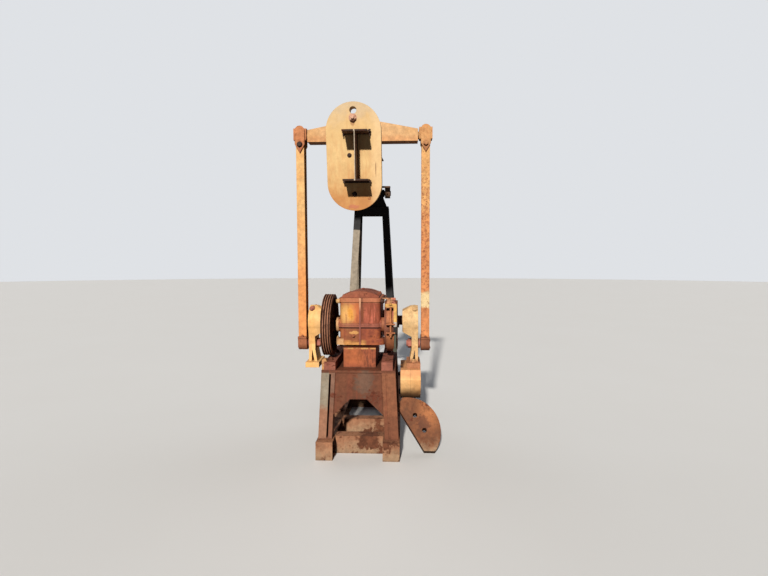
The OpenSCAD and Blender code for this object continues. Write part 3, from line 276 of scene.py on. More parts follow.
def leg_shades(place, face, colour):
    """The grey legs are brown with rust from the knee down, and red on their inner angles."""
    leg_lean = 0.049
    ragged = clouds(place, 0.05, 5.0) - 0.5
    below = (place.along("Z") + ragged * 0.15).between(0.46, 0.38)
    colour = (below * 0.85).pick(colour, seen(168, 112, 82))
    inner = (place.along("X") + place.along("Z") * -leg_lean + ragged * 0.02).between(-0.286, -0.274)
    return dusty_foot(place, face, (inner * 0.8).pick(colour, seen(134, 84, 62)))


red_rust = (120, 62, 42)
stand_steel = weathered("stand_steel", (122, 72, 48), (106, 62, 42), red_rust,
                        rusted=0.4, streaks=0.5, specks=0.4, marks=grey_primer)
grey_leg_steel = weathered("grey_leg_steel", (166, 155, 136), (150, 135, 114), red_rust,
                           rusted=0.25, streaks=0.4, marks=leg_shades)
bright_leg_steel = weathered("bright_leg_steel", (148, 92, 62), (126, 75, 51), red_rust,
                             rusted=0.4, streaks=0.5, specks=0.4, marks=dusty_foot)
rail_red = weathered("rail_red", (168, 102, 81), (146, 86, 67), red_rust,
                     rusted=0.4, streaks=0.4, specks=0.4)
dress(stand_steel, "stand_end_plates", "stand_top_plate")
dress(grey_leg_steel, "left_stand_legs")
dress(bright_leg_steel, "right_stand_legs")
dress(rail_red, "stand_top_rails")


def straight(radius, length):
    """The profile of a plain round bar or disc."""
    return [(0, 0), (radius, 0), (radius, length), (0, length)]


def bolt(shop, seat, thread, way=(0, 0, 1), stub=False):
    """A hexagon head on a washer, or a nut with the bolt's end standing out of it."""
    up = Vector(way).normalized()
    washer_r, washer_t = 1.12 * thread, 0.16 * thread
    corner_r, head_h = 0.96 * thread, 0.66 * thread
    turned(shop, seat, way, straight(washer_r, washer_t), sides=18)
    head = [(0, 0), (corner_r, 0), (corner_r, 0.8 * head_h), (0.84 * corner_r, head_h), (0, head_h)]
    own_turn = seat[0] * 9.0 + seat[2] * 7.0
    turned(shop, Vector(seat) + up * 0.9 * washer_t, way, head, sides=6, twist=own_turn)
    if stub:
        end_r, tip_r = 0.48 * thread, 0.4 * thread
        shoulder_h, end_h = 1.05 * thread, 1.15 * thread
        end = [(0, 0), (end_r, 0), (end_r, shoulder_h), (tip_r, end_h), (0, end_h)]
        turned(shop, Vector(seat) + up * washer_t, way, end, sides=14)


stand_low, stand_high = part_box("stand_top_plate")
rail_low, rail_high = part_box("stand_top_rails")
leg_foot_x, leg_head_x, leg_w = 0.34, 0.3125, 0.117
leg_top_z = stand_low.z
plate_low_z, plate_inset, plate_spread = 0.35, 0.008, 0.0177
rail_bolt_x, rail_bolt_ys = 0.246, (-0.46, -0.1, 0.19)
thick_bead = 0.006
stand_seams = bmesh.new()
for side in (-1, 1):
    corner = side * (leg_head_x - leg_w)
    low_corner = side * (leg_head_x - leg_w + plate_spread)
    foot, inner_foot = side * leg_foot_x, side * (leg_foot_x - leg_w)
    for face_y, out in ((stand_low.y, 1), (stand_high.y, -1)):
        edge_y = face_y + out * plate_inset
        weld(stand_seams, (corner, edge_y, leg_top_z), (low_corner, edge_y, plate_low_z), thick_bead)
        weld(stand_seams, (foot, face_y, skid_top), (inner_foot, face_y, skid_top), thick_bead)
        weld(stand_seams, (0, edge_y, leg_top_z), (corner, edge_y, leg_top_z), thick_bead)
    for y in rail_bolt_ys:
        bolt(stand_seams, (side * rail_bolt_x, y, rail_high.z), thread=0.02, stub=True)
fitting("stand_welds_and_bolts", stand_seams, "base", stand_steel)


def pushed(shop, outline, corner, depth, right=(1, 0, 0)):
    """An upright plate, cut to an outline of (right, up) points and pushed `depth` along right x up."""
    right, up = Vector(right), Vector((0, 0, 1))
    push = right.cross(up) * depth
    front = [shop.verts.new(Vector(corner) + right * across + up * high) for across, high in outline]
    back = [shop.verts.new(vert.co + push) for vert in front]
    shop.faces.new(front)
    shop.faces.new(back[::-1])
    for step in range(len(front)):
        after = (step + 1) % len(front)
        shop.faces.new([front[after], front[step], back[step], back[after]])


slot_head_x, slot_foot_x, slot_half = 0.2385, 0.264, 0.01
slot_top_z, slot_foot_z = 0.706, 0.163
batten_t, batten_in = 0.006, 0.004
batten_outline = [(slot_foot_x - slot_half, slot_foot_z), (slot_foot_x + slot_half, slot_foot_z),
                  (slot_head_x + slot_half, slot_top_z), (slot_head_x - slot_half, slot_top_z)]
battens = bmesh.new()
for face_y, out in ((stand_low.y, -1), (stand_high.y, 1)):
    seat_y = face_y - out * (batten_in + batten_t)
    pushed(battens, batten_outline, (0, seat_y, 0), -out * batten_t)
fitting("right_leg_battens", battens, "base", bright_leg_steel)

rail_inner_edge, rail_end_t, rail_corner = 0.194, 0.004, 0.004
rail_w, rail_h = rail_high.x - rail_inner_edge, rail_high.z - rail_low.z
end_outline = [(0, 0), (rail_w, 0), (rail_w, rail_h - rail_corner), (rail_w - rail_corner, rail_h),
               (rail_corner, rail_h), (0, rail_h - rail_corner)]
rail_ends = bmesh.new()
for edge in (rail_inner_edge, -rail_high.x):
    pushed(rail_ends, end_outline, (edge, rail_low.y, rail_low.z), rail_end_t)
fitting("rail_end_plates", rail_ends, "base", rail_red)

pale_casting = weathered("pale_casting", (222, 176, 118), (206, 150, 96), (150, 84, 50),
                         rusted=0.25)
block_w, block_h, block_t = 0.044, 0.092, 0.06
block_corner, block_slope = 0.01, 0.022
block_x, block_in, block_bolt_up = -0.312, 0.016, 0.045
block_y = stand_low.y + block_in
block_outline = [(0, 0), (block_w, 0), (block_w, block_h - block_slope), (block_w - block_corner, block_h),
                 (block_corner, block_h), (0, block_h - block_corner)]
stop_block = bmesh.new()
pushed(stop_block, block_outline, (block_x, block_y, stand_high.z), -block_t)
block_seat = (block_x + block_w / 2, block_y, stand_high.z + block_bolt_up)
bolt(stop_block, block_seat, thread=0.014, way=(0, -1, 0))
fitting("stop_block", stop_block, "base", pale_casting)


# The pedestal: a welded box on the stand's top plate that carries the gear case.
# Its orange paint is scraped through to dark steel on the right, and worn pale along the top.

def scraped_side(place, face, colour):
    scrape = spot(place, (0.07, -0.43, 0.83), (0.09, 0.06, 0.1), ragged=3.0)
    scratches = clouds(place, 0.05, 7.0, 0.8, (3.0, 1.0, 0.5)).between(0.48, 0.56)
    colour = (scrape * scratches * 0.75).pick(colour, seen(96, 50, 36))
    glow = spot(place, (-0.05, -0.43, 0.82), (0.09, 0.06, 0.08))
    colour = (glow * 0.6).pick(colour, seen(186, 103, 57))
    rim = place.along("Z").between(0.886, 0.89) * face.along("Y").between(-0.5, -0.8)
    worn = clouds(place, 0.04, 5.0).between(0.4, 0.55)
    return (rim * worn * 0.75).pick(colour, seen(226, 172, 104))


pedestal_paint = weathered("pedestal_paint", (178, 98, 62), (158, 82, 52), red_rust,
                           rusted=0.36, streaks=0.4, marks=scraped_side)
dress(pedestal_paint, "pedestal")
pedestal_low, pedestal_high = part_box("pedestal")
corners = [(pedestal_low.x, pedestal_low.y), (pedestal_high.x, pedestal_low.y),
           (pedestal_high.x, pedestal_high.y), (pedestal_low.x, pedestal_high.y)]
pedestal_seams = bmesh.new()
for start, end in zip(corners, corners[1:] + corners[:1]):
    weld(pedestal_seams, (*start, pedestal_low.z), (*end, pedestal_low.z), thick_bead)
fitting("pedestal_weld_beads", pedestal_seams, "base", stand_steel)


# The gear case: two cast iron halves, bolted at a split flange on the shafts' centre line, under a vaulted
# lid with a breather. The paint shows yellow at the left, brick red at the right, and pale on the ribs.

def side_shades(place, colour):
    """Brick red at the right, yellow with gold and orange at the left, and dark drips and pink on them."""
    right = (place.along("X") + wander(place, 0.1, 0.16)).between(-0.03, 0.05)
    colour = (right * 0.8).pick(colour, seen(150, 72, 50))
    flame = spot(place, (-0.05, -0.4, 1.2), (0.06, 0.3, 0.1), ragged=2.4, soft=0.5)
    colour = (flame * 0.7).pick(colour, seen(226, 124, 70))
    yellow = spot(place, (-0.115, -0.4, 1.185), (0.065, 0.3, 0.09), ragged=2.0, soft=0.6)
    colour = (yellow * 0.9).pick(colour, seen(242, 184, 106))
    gold = spot(place, (-0.085, -0.4, 1.2), (0.025, 0.2, 0.06), ragged=3.0, soft=0.5)
    colour = (gold * 0.7).pick(colour, seen(240, 160, 52))
    drips = clouds(place, 0.3, 6.0, 0.65, (9.0, 9.0, 1.0))
    colour = (drips.between(0.53, 0.62) * 0.45).pick(colour, seen(142, 68, 44))
    pink = spot(place, (0.1, -0.4, 1.18), (0.06, 0.2, 0.09), ragged=2.4, soft=0.5)
    return (pink * drips.between(0.52, 0.44) * 0.75).pick(colour, seen(218, 118, 92))


def lower_shades(place, rearward, ragged, colour):
    """The split flange with a painted shadow line under it, and rust, chalk and cream on the lower half."""
    x, z = place.along("X"), place.along("Z")
    flange = z.between(1.066, 1.072) * z.between(1.112, 1.104)
    colour = (flange * 0.6).pick(colour, seen(164, 98, 80))
    # Painted shadow: a dark line on the rear faces just under the flange.
    shadow_line = z.between(1.06, 1.063) * z.between(1.076, 1.073) * rearward
    colour = (shadow_line * 0.85).pick(colour, seen(44, 18, 12))
    rusty_half = z.between(1.06, 1.05) * x.between(0.03, 0.1) * clouds(place, 0.05, 5.0).between(0.45, 0.55)
    colour = (rusty_half * 0.55).pick(colour, seen(172, 94, 52))
    chalk_line = spot(place, (-0.057, -0.4, 1.026), (0.04, 0.1, 0.016), ragged=3.4)
    colour = (chalk_line * 0.7).pick(colour, seen(240, 178, 104))
    foot_band = (z + ragged).between(0.965, 0.935) * x.between(0.07, 0.03) * rearward
    colour = (foot_band * 0.65).pick(colour, seen(232, 168, 92))
    left_lug = x.between(-0.14, -0.15) * z.between(0.985, 0.965)
    return (left_lug * 0.8).pick(colour, seen(226, 178, 126))


def case_colours(place, face, colour):
    """Both halves, then the pale band under the lid, and the middle rib with the shade beside it."""
    x, z = place.along("X"), place.along("Z")
    rearward = face.along("Y").between(-0.5, -0.8)
    ragged = wander(place, 0.06, 0.06)
    colour = lower_shades(place, rearward, ragged, side_shades(place, colour))
    upper_band = (z + ragged).between(1.275, 1.295)
    colour = (upper_band * 0.6).pick(colour, seen(206, 132, 94))
    distance = x.node("ShaderNodeMath", {"operation": "ABSOLUTE"}, {0: x})
    rib = distance.between(0.011, 0.006) * place.along("Y").between(-0.402, -0.407)
    shade = x.between(0.009, 0.012) * x.between(0.034, 0.02) * z.between(1.11, 1.13) * rearward
    colour = (shade * 0.55).pick(colour, seen(92, 52, 34))
    rib_tone = z.between(1.2, 1.28).pick(seen(150, 88, 76), seen(232, 172, 132))
    return (rib * 0.85).pick(colour, rib_tone)


def pale_left_cap(place, face, colour):
    left = (place.along("X") + wander(place, 0.04, 0.03)).between(-0.18, -0.2)
    return (left * 0.75).pick(colour, seen(220, 172, 120))


case_paint = weathered("case_paint", (174, 102, 62), (146, 84, 52), red_rust,
                       rusted=0.34, streaks=0.45, specks=0.35, marks=case_colours)
lid_paint = weathered("lid_paint", (170, 100, 71), (146, 77, 53), red_rust,
                      rusted=0.4, streaks=0.2, specks=0.4)
cap_paint = weathered("cap_paint", (182, 112, 76), (156, 90, 60), red_rust,
                      rusted=0.36, specks=0.4, marks=pale_left_cap)
dark_casting = weathered("dark_casting", (92, 60, 46), (74, 48, 38), red_rust,
                         rusted=0.4, streaks=0.2, specks=0.4)
dress(case_paint, "gear_case_base", "gear_case_top")
dress(lid_paint, "gear_case_cover")
dress(cap_paint, "bearing_caps")

lid_low, lid_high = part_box("gear_case_cover")
lid_rim_t, lid_bolt_in, bolts_a_side = 0.008, 0.035, 5
lid_pitch = (lid_high.y - lid_low.y - 2 * lid_bolt_in) / (bolts_a_side - 1)
boss_in, boss_h, sunk = 0.017, 0.014, 0.0005
boss = [(0, 0), (0.015, 0), (0.014, boss_h), (0, boss_h)]
lid_bolts = bmesh.new()
for side in (-1, 1):
    for step in range(bolts_a_side):
        y = lid_low.y + lid_bolt_in + step * lid_pitch
        seat = Vector((side * (lid_high.x - boss_in), y, lid_low.z + lid_rim_t))
        turned(lid_bolts, seat, (0, 0, 1), boss)
        bolt(lid_bolts, seat + Vector((0, 0, boss_h - sunk)), thread=0.011)
fitting("lid_bolts", lid_bolts, "base", lid_paint)

lug_bolt_x, lug_bolt_ys, lug_h = 0.199, (-0.362, 0.162), 0.076
lug_seat_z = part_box("gear_case_base")[0].z + lug_h
ear_x, ear_ys, ear_z = 0.18, (-0.375, 0.175), 1.302
ear_knob = [(0, 0), (0.021, 0), (0.021, 0.026), (0.014, 0.034), (0, 0.034)]
for side, name, finish in ((-1, "left", pale_casting), (1, "right", dark_casting)):
    case_fittings = bmesh.new()
    for y in lug_bolt_ys:
        bolt(case_fittings, (side * lug_bolt_x, y, lug_seat_z), thread=0.013, stub=True)
    for y in ear_ys:
        turned(case_fittings, (side * ear_x, y, ear_z), (side, 0, 0), ear_knob)
    fitting(name + "_case_fittings", case_fittings, "base", finish)


def bolt_ring(shop, centre, radius, side, thread, count, first):
    """Bolts in a ring on an end face that looks left (-1) or right (1), the first one at that angle."""
    x, y, z = centre
    for step in range(count):
        angle = math.radians(first + 360 / count * step)
        seat = (x, y + radius * math.cos(angle), z + radius * math.sin(angle))
        bolt(shop, seat, thread, (side, 0, 0))


crank_axis, drive_axis = middle("crankshaft"), middle("drive_shaft")
crank_cap_x, drive_cap_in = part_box("bearing_caps")[1].x, 0.004
crank_cap_ring, drive_cap_ring = 0.082, 0.05
plug_foot = (-0.057, -0.4, 1.0)
plug = [(0, 0), (0.017, 0), (0.017, 0.008), (0.011, 0.009), (0.011, 0.02), (0, 0.02)]
cap_bolts = bmesh.new()
turned(cap_bolts, plug_foot, (0, -1, 0), plug, sides=6)
for side in (-1, 1):
    crank_cap = (side * crank_cap_x, 0.0, crank_axis.z)
    bolt_ring(cap_bolts, crank_cap, crank_cap_ring, side, thread=0.01, count=6, first=30)
drive_cap = (drive_cap_in - crank_cap_x, drive_axis.y, drive_axis.z)
bolt_ring(cap_bolts, drive_cap, drive_cap_ring, -1, thread=0.009, count=4, first=45)
fitting("cap_bolts", cap_bolts, "base", cap_paint)


# The drive shaft with its two wheels, both keyed on: a cast sheave with four belt grooves, and a brake
# drum. The sheave has rusted to a dark brown, and is lighter on the lands between its grooves.

def polished_rims(place, face, colour):
    """The rim is lighter, and the lands between its grooves are worn nearly bare."""
    spoke = (place - tuple(drive_axis)) * (0.0, 1.0, 1.0)
    reach = spoke.node("ShaderNodeVectorMath", {"operation": "LENGTH"}, {0: spoke}, out="Value")
    bloom = clouds(place, 0.02, 5.0).between(0.4, 0.6)
    colour = (reach.between(0.225, 0.24) * (bloom * 0.3 + 0.4)).pick(colour, seen(124, 80, 58))
    return (reach.between(0.262, 0.267) * (bloom * 0.3 + 0.6)).pick(colour, seen(194, 134, 102))


sheave_iron = weathered("sheave_iron", (114, 71, 50), (92, 57, 42), (82, 46, 34),
                        rusted=0.35, streaks=0.1, marks=polished_rims)
drum_iron = weathered("drum_iron", (136, 80, 58), (116, 66, 47), red_rust,
                      rusted=0.36, streaks=0.4, specks=0.4)
shaft_steel = weathered("shaft_steel", (128, 82, 60), (104, 66, 50), (100, 54, 38),
                        rusted=0.5, streaks=0.1, specks=0.5)
dress(sheave_iron, "sheave")
dress(drum_iron, "brake_drum")
dress(shaft_steel, "drive_shaft", "crankshaft")

sheave_face_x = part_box("sheave")[0].x
hub_ring, key_up = 0.042, 0.024
key_half, key_h, key_out = 0.006, 0.01, 0.009
key = [(-key_half, 0), (key_half, 0), (key_half, key_h), (-key_half, key_h)]
hub_screws = bmesh.new()
hub_face = (sheave_face_x, drive_axis.y, drive_axis.z)
bolt_ring(hub_screws, hub_face, hub_ring, -1, thread=0.01, count=3, first=90)
key_foot = (sheave_face_x, drive_axis.y, drive_axis.z + key_up)
pushed(hub_screws, key, key_foot, -key_out, right=(0, 1, 0))
fitting("sheave_hub_screws", hub_screws, "drive", shaft_steel)


# The brake: a steel band round the drum, a lever with a flat handle bolted on its end, and a pull rod that
# hangs from the handle by a coupling. The handle is yellow, the coupling bare, and the rod's clevis black.

def band_colours(place, face, colour):
    z = place.along("Z")
    ragged = clouds(place, 0.04, 5.0) - 0.5
    colour = ((z + ragged * 0.05).between(1.24, 1.27) * 0.7).pick(colour, seen(230, 168, 120))
    pink = (place.along("X") + ragged * 0.04).between(0.276, 0.29) * z.between(1.16, 1.2)
    colour = (pink * 0.7).pick(colour, seen(206, 116, 100))
    gap = z.between(1.233, 1.236) * z.between(1.247, 1.244) * face.along("Y").between(-0.4, -0.7)
    return (gap * 0.85).pick(colour, seen(48, 26, 20))


def black_clevis(place, face, colour):
    return (place.along("Z").between(1.035, 1.042) * 0.95).pick(colour, seen(34, 30, 28))


band_steel = weathered("band_steel", (184, 114, 74), (152, 90, 60), red_rust,
                       rusted=0.36, streaks=0.4, specks=0.4, marks=band_colours)
lever_steel = weathered("lever_steel", (206, 130, 82), (180, 106, 66), red_rust,
                        rusted=0.3, specks=0.5)
strap_yellow = weathered("strap_yellow", (234, 184, 104), (214, 156, 84), red_rust,
                         rusted=0.2)
bare_zinc = weathered("bare_zinc", (206, 194, 184), (176, 158, 144), red_rust,
                      rusted=0.15, streaks=0.1)
rod_grey = weathered("rod_grey", (88, 90, 76), (72, 73, 62), red_rust,
                     rusted=0.25, marks=black_clevis)
dress(band_steel, "brake_band")
dress(lever_steel, "brake_lever")

lever_x, lever_y = middle("brake_lever").x, middle("brake_lever").y
handle_up, handle_end, handle_bolt_down = 0.026, 1.106, 0.012
handle_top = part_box("brake_lever")[1].z + handle_up
grip_l, grip_h, grip_corner = 0.045, 0.03, 0.005
strap_in, strap_w, strap_t, strap_corner = 0.024, 0.027, 0.008, 0.008
strap_out = strap_in + strap_w
grip_low = handle_top - grip_h
point_h, point_in = 0.02, 0.006
point_top = handle_end + point_h
handle_outline = [(-grip_l, grip_low), (strap_in, grip_low), (strap_in, point_top),
                  (strap_in + point_in, handle_end), (strap_out - point_in, handle_end),
                  (strap_out, point_top), (strap_out, handle_top - strap_corner),
                  (strap_out - strap_corner, handle_top), (grip_corner - grip_l, handle_top),
                  (-grip_l, handle_top - grip_corner)]
handle = bmesh.new()
pushed(handle, handle_outline, (lever_x, lever_y + strap_t / 2, 0), strap_t)
bolt(handle, (lever_x, lever_y, handle_top - handle_bolt_down), thread=0.014, stub=True)
fitting("brake_handle", handle, "base", strap_yellow)

rod_x = lever_x + strap_in + strap_w / 2
coupling_z, clevis_z, eye_z, rod_foot_z = 1.102, 1.05, 0.912, 0.9
barrel = [(0, 0), (0.012, 0), (0.0155, 0.004), (0.0155, 0.038), (0.012, 0.042), (0, 0.042)]
coupling = bmesh.new()
turned(coupling, (rod_x, lever_y, coupling_z), (0, 0, 1), barrel)
fitting("brake_rod_coupling", coupling, "base", bare_zinc)
rod_r, rod_l, clevis_t, eye_r, eye_t = 0.01, 0.152, 0.024, 0.017, 0.028
clevis = [(-0.016, 0), (0.016, 0), (0.016, 0.046), (0.01, 0.054), (-0.01, 0.054), (-0.016, 0.046)]
pull_rod = bmesh.new()
pushed(pull_rod, clevis, (rod_x, lever_y + clevis_t / 2, clevis_z), clevis_t)
turned(pull_rod, (rod_x, lever_y, rod_foot_z), (0, 0, 1), straight(rod_r, rod_l))
turned(pull_rod, (rod_x, lever_y + eye_t / 2, eye_z), (0, -1, 0), straight(eye_r, eye_t))
fitting("brake_pull_rod", pull_rod, "base", rod_grey)


# The cranks: two castings clamped on the crankshaft, each with a round hub, an arm with the wrist pin,
# and two legs down to a foot. The cream paint is chalky, and the left one has gone orange.

def chalky_crank(place, face, colour):
    scuffs = clouds(place, 0.035, 7.0, 0.75).between(0.56, 0.62)
    colour = (scuffs * 0.4).pick(colour, seen(176, 120, 72))
    rusty_foot = (place.along("Z") + wander(place, 0.05, 0.06)).between(0.745, 0.715)
    return (rusty_foot * 0.8).pick(colour, seen(178, 106, 72))


def orange_crank(place, face, colour):
    inner = (place.along("X") + wander(place, 0.05, 0.08)).between(-0.47, -0.43)
    return (inner * 0.5).pick(colour, seen(236, 188, 128))


chalk_rust = (166, 98, 60)
right_crank_paint = weathered("right_crank_paint", (238, 198, 142), (226, 178, 120), chalk_rust,
                              rusted=0.2, streaks=0.15, marks=chalky_crank)
left_crank_paint = weathered("left_crank_paint", (255, 210, 140), (254, 194, 120), chalk_rust,
                             rusted=0.14, streaks=0.25, specks=0.2, grime_and_shade=0.3, marks=orange_crank,
                             mottled=0.3)
pin_steel = weathered("pin_steel", (206, 132, 112), (176, 104, 86), (128, 70, 54),
                      rusted=0.35, streaks=0.1, specks=0.4)
dress(right_crank_paint, "right_crank")
dress(left_crank_paint, "left_crank")
dress(pin_steel, "left_wrist_pin", "right_wrist_pin")

wrist_z = middle("right_wrist_pin").z
clamp_x, clamp_y, clamp_up, clamp_boss_h = 0.487, 0.058, 0.115, 0.043
clamp_boss = [(0, 0), (0.026, 0), (0.026, 0.04), (0.022, clamp_boss_h), (0, clamp_boss_h)]
foot_bolt_x, foot_bolt_y, foot_t = 0.474, 0.126, 0.048
foot_top_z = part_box("right_crank")[0].z + foot_t
pin_bead_in, pin_bead_half, pin_bead = 0.007, 0.036, 0.003
pin_bead_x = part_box("right_wrist_pin")[0].x + pin_bead_in
for side, name in ((-1, "left"), (1, "right")):
    crank_fittings = bmesh.new()
    for way in (-1, 1):
        seat = Vector((side * clamp_x, way * clamp_y, crank_axis.z + clamp_up))
        turned(crank_fittings, seat, (0, way, 0), clamp_boss)
        seat += Vector((0, way * clamp_boss_h, 0))
        bolt(crank_fittings, seat, thread=0.02, way=(0, way, 0), stub=way < 0)
    if side > 0:
        for y in (-foot_bolt_y, foot_bolt_y):
            bolt(crank_fittings, (foot_bolt_x, y, foot_top_z), thread=0.026, stub=True)
    x = side * pin_bead_x
    weld(crank_fittings, (x, -pin_bead_half, wrist_z), (x, pin_bead_half, wrist_z), pin_bead)
    finish = pin_steel if side < 0 else right_crank_paint
    fitting(name + "_crank_bolts", crank_fittings, "cranks", finish)


# The counterweights: cast iron slabs, two face to face under the right crank's foot. The left pair is
# off, and one of its slabs stands on a sloping side on the ground, bare and deep with rust.

def weight_bands_and_highlight(place, face, colour):
    slab_joint_x = 0.444
    z = place.along("Z") + wander(place, 0.07, 0.08)
    # Darker towards the bottom.
    colour = (z.between(0.53, 0.41) * 0.9).pick(colour, seen(98, 64, 39))
    # Painted highlight: the upper part is lighter, where light falls on the crown.
    colour = (z.between(0.57, 0.63) * 0.6).pick(colour, seen(224, 150, 104))
    x = place.along("X") - slab_joint_x
    seam = x.node("ShaderNodeMath", {"operation": "ABSOLUTE"}, {0: x}).between(0.0025, 0.001)
    return (seam * 0.35).pick(colour, seen(90, 56, 38))


def loose_rim(place, face, colour):
    rim = face.along("Z").between(0.5, 0.8)
    colour = (rim * 0.75).pick(colour, seen(206, 130, 76))
    shoulder = spot(place, (0.61, -0.36, 0.34), (0.1, 0.3, 0.13), ragged=2.0, soft=0.5)
    colour = (shoulder * 0.6).pick(colour, seen(196, 124, 74))
    bruise = spot(place, (0.56, -0.36, 0.24), (0.06, 0.2, 0.05), ragged=2.6)
    colour = (bruise * 0.6).pick(colour, seen(92, 50, 36))
    return dusty_foot(place, face, colour)


weight_paint = weathered("weight_paint", (250, 198, 134), (240, 180, 116), chalk_rust,
                         rusted=0.14, streaks=0.25, specks=0.2, grime_and_shade=0.3, marks=weight_bands_and_highlight, mottled=0.3)
loose_iron = weathered("loose_iron", (128, 77, 46), (108, 64, 39), red_rust,
                       rusted=0.42, streaks=0.1, specks=0.5, marks=loose_rim, mottled=0.7)
dress(weight_paint, "crank_counterweight")
dress(loose_iron, "loose_counterweight")


# The post: four angle-section legs under a cap plate, tied by flat bars, with a tapered head that holds
# the saddle shaft. It is painted black, and the left legs have weathered to a pale grey on the rear faces;
# above about 2.05 m they keep the black, a painted shadow where shade falls from the equalizer.

def grey_leg_below_painted_shadow(place, face, colour):
    # Painted shadow: above about 2.05 m the leg keeps its black paint, where the equalizer's shadow falls.
    below = (place.along("Z") + wander(place, 0.1, 0.03, 4.0)).between(2.055, 2.04)
    rearward = face.along("Y").between(-0.5, -0.8)
    colour = (below * rearward).pick(colour, seen(172, 158, 138))
    return (below * 0.25).pick(colour, seen(120, 106, 90))


black_rust = (88, 56, 44)
post_paint = weathered("post_paint", (44, 42, 42), (36, 34, 35), black_rust,
                       rusted=0.1, streaks=0.1, specks=0.15)
left_leg_paint = weathered("left_leg_paint", (46, 44, 43), (38, 36, 36), black_rust,
                           rusted=0.1, streaks=0.12, specks=0.15, marks=grey_leg_below_painted_shadow)
dress(post_paint, "right_post_legs", "post_cross_bars", "post_cap", "post_head")
dress(left_leg_paint, "left_post_legs")

saddle_axis = middle("saddle_shaft")
cap_low, cap_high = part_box("post_cap")
rear_foot_y, front_foot_y = cross_beam_ys[2:]
pad_bolts, pad_t = ((0.262, 0.052), (0.331, 0.012), (0.331, 0.072)), 0.01
cap_bolt_x, cap_bolt_in = 0.19, 0.035
head_foot_x, head_rib_x, head_face = 0.186, 0.02, 0.075
post_fittings = bmesh.new()
for side in (-1, 1):
    for y, inward in ((rear_foot_y, 1), (front_foot_y, -1)):
        for x, step in pad_bolts:
            seat = (side * x, y + inward * step, skid_top + pad_t)
            bolt(post_fittings, seat, thread=0.014, stub=True)
    for y in (cap_low.y + cap_bolt_in, cap_high.y - cap_bolt_in):
        bolt(post_fittings, (side * cap_bolt_x, y, cap_high.z), thread=0.014)
    for end in (-1, 1):
        y = saddle_axis.y + end * head_face
        rib_end = (side * head_rib_x, y, cap_high.z)
        weld(post_fittings, (side * head_foot_x, y, cap_high.z), rib_end, thick_bead)
fitting("post_bolts_and_welds", post_fittings, "base", post_paint)


# The saddle: a plate bolted under the walking beam with a bearing at each end, on the saddle shaft.
# The bearings are rust brown, and grease fittings stick out of them.

saddle_iron = weathered("saddle_iron", (112, 86, 62), (92, 66, 48), red_rust,
                        rusted=0.35)
dress(saddle_iron, "saddle")
dress(shaft_steel, "saddle_shaft", "equalizer_shaft")
beam_slope = math.radians(9.2)
beam_frame = Matrix.Translation(saddle_axis) @ Matrix.Rotation(beam_slope, 4, "X")
beam_seat, beam_flange_t, saddle_plate_t = 0.086, 0.013, 0.018
saddle_bolt_x, saddle_bolt_y = 0.075, 0.1
grease_x, grease_y = 0.189, -0.06
nipple = [(0, 0), (0.008, 0), (0.008, 0.006), (0.004, 0.008), (0.004, 0.014), (0.006, 0.018), (0, 0.021)]
saddle_bolts = bmesh.new()
for side in (-1, 1):
    x = side * saddle_bolt_x
    for y in (-saddle_bolt_y, saddle_bolt_y):
        bolt(saddle_bolts, (x, y, beam_seat + beam_flange_t), thread=0.018, stub=True)
        bolt(saddle_bolts, (x, y, beam_seat - saddle_plate_t), thread=0.018, way=(0, 0, -1))
    turned(saddle_bolts, (side * grease_x, grease_y, 0.0), (0, -1, 0), nipple, sides=12)
fitting("saddle_bolts", saddle_bolts, "beam", shaft_steel, beam_frame)


# The walking beam: one length of heavy rolled I-section, rusted brown, with the horsehead welded to its
# front. Its tail end is nearly black with old paint, and a painted highlight runs down the left edge of the
# web's cut end.

web_half = 0.0085


def dark_tail_and_web_highlight(place, face, colour):
    x = place.along("X")
    # Painted highlight: a bright line down the left edge of the web's cut end, where the sun catches it.
    corner = x.between(0.0015, 0.0) * x.between(-web_half - 0.002, -web_half)
    tail = face.along("Y").between(-0.7, -0.9) * place.along("Y").between(-0.5, -0.7)
    colour = (tail * 0.8).pick(colour, seen(38, 30, 28))
    return (corner * tail * 0.9).pick(colour, seen(226, 206, 180))


beam_paint = weathered("beam_paint", (104, 70, 53), (126, 84, 60), (112, 62, 42),
                       rusted=0.34, marks=dark_tail_and_web_highlight)
head_paint = weathered("head_paint", (150, 104, 70), (120, 78, 54), red_rust,
                       rusted=0.35, streaks=0.4)
dress(beam_paint, "walking_beam")
dress(head_paint, "horsehead")
beam_h = 0.39
beam_top = beam_seat + beam_h
head_joint_y, web_seam_in, flange_seam_half = 1.0, 0.02, 0.064
head_seams = bmesh.new()
for side in (-1, 1):
    x = side * web_half
    low_end = (x, head_joint_y, beam_seat + web_seam_in)
    weld(head_seams, low_end, (x, head_joint_y, beam_top - web_seam_in), thick_bead)
    for z in (beam_seat, beam_top):
        weld(head_seams, (0, head_joint_y, z), (side * flange_seam_half, head_joint_y, z), thick_bead)
fitting("horsehead_weld_beads", head_seams, "beam", head_paint, beam_frame)


# The tail counterweight: one oval slab of cast iron threaded on the beam's tail, held by flat bars that
# are bolted across the flanges. Its cream paint has gone orange at the foot, with a pink primer patch.

slab_face_y = -1.725
slab_middle_x, slab_middle_z = -0.025, 0.281
slab_half_h = 0.435


def on_slab(right, up):
    """A point of the slab's rear face, in metres from its middle."""
    return beam_frame @ Vector((slab_middle_x + right, slab_face_y, slab_middle_z + up))


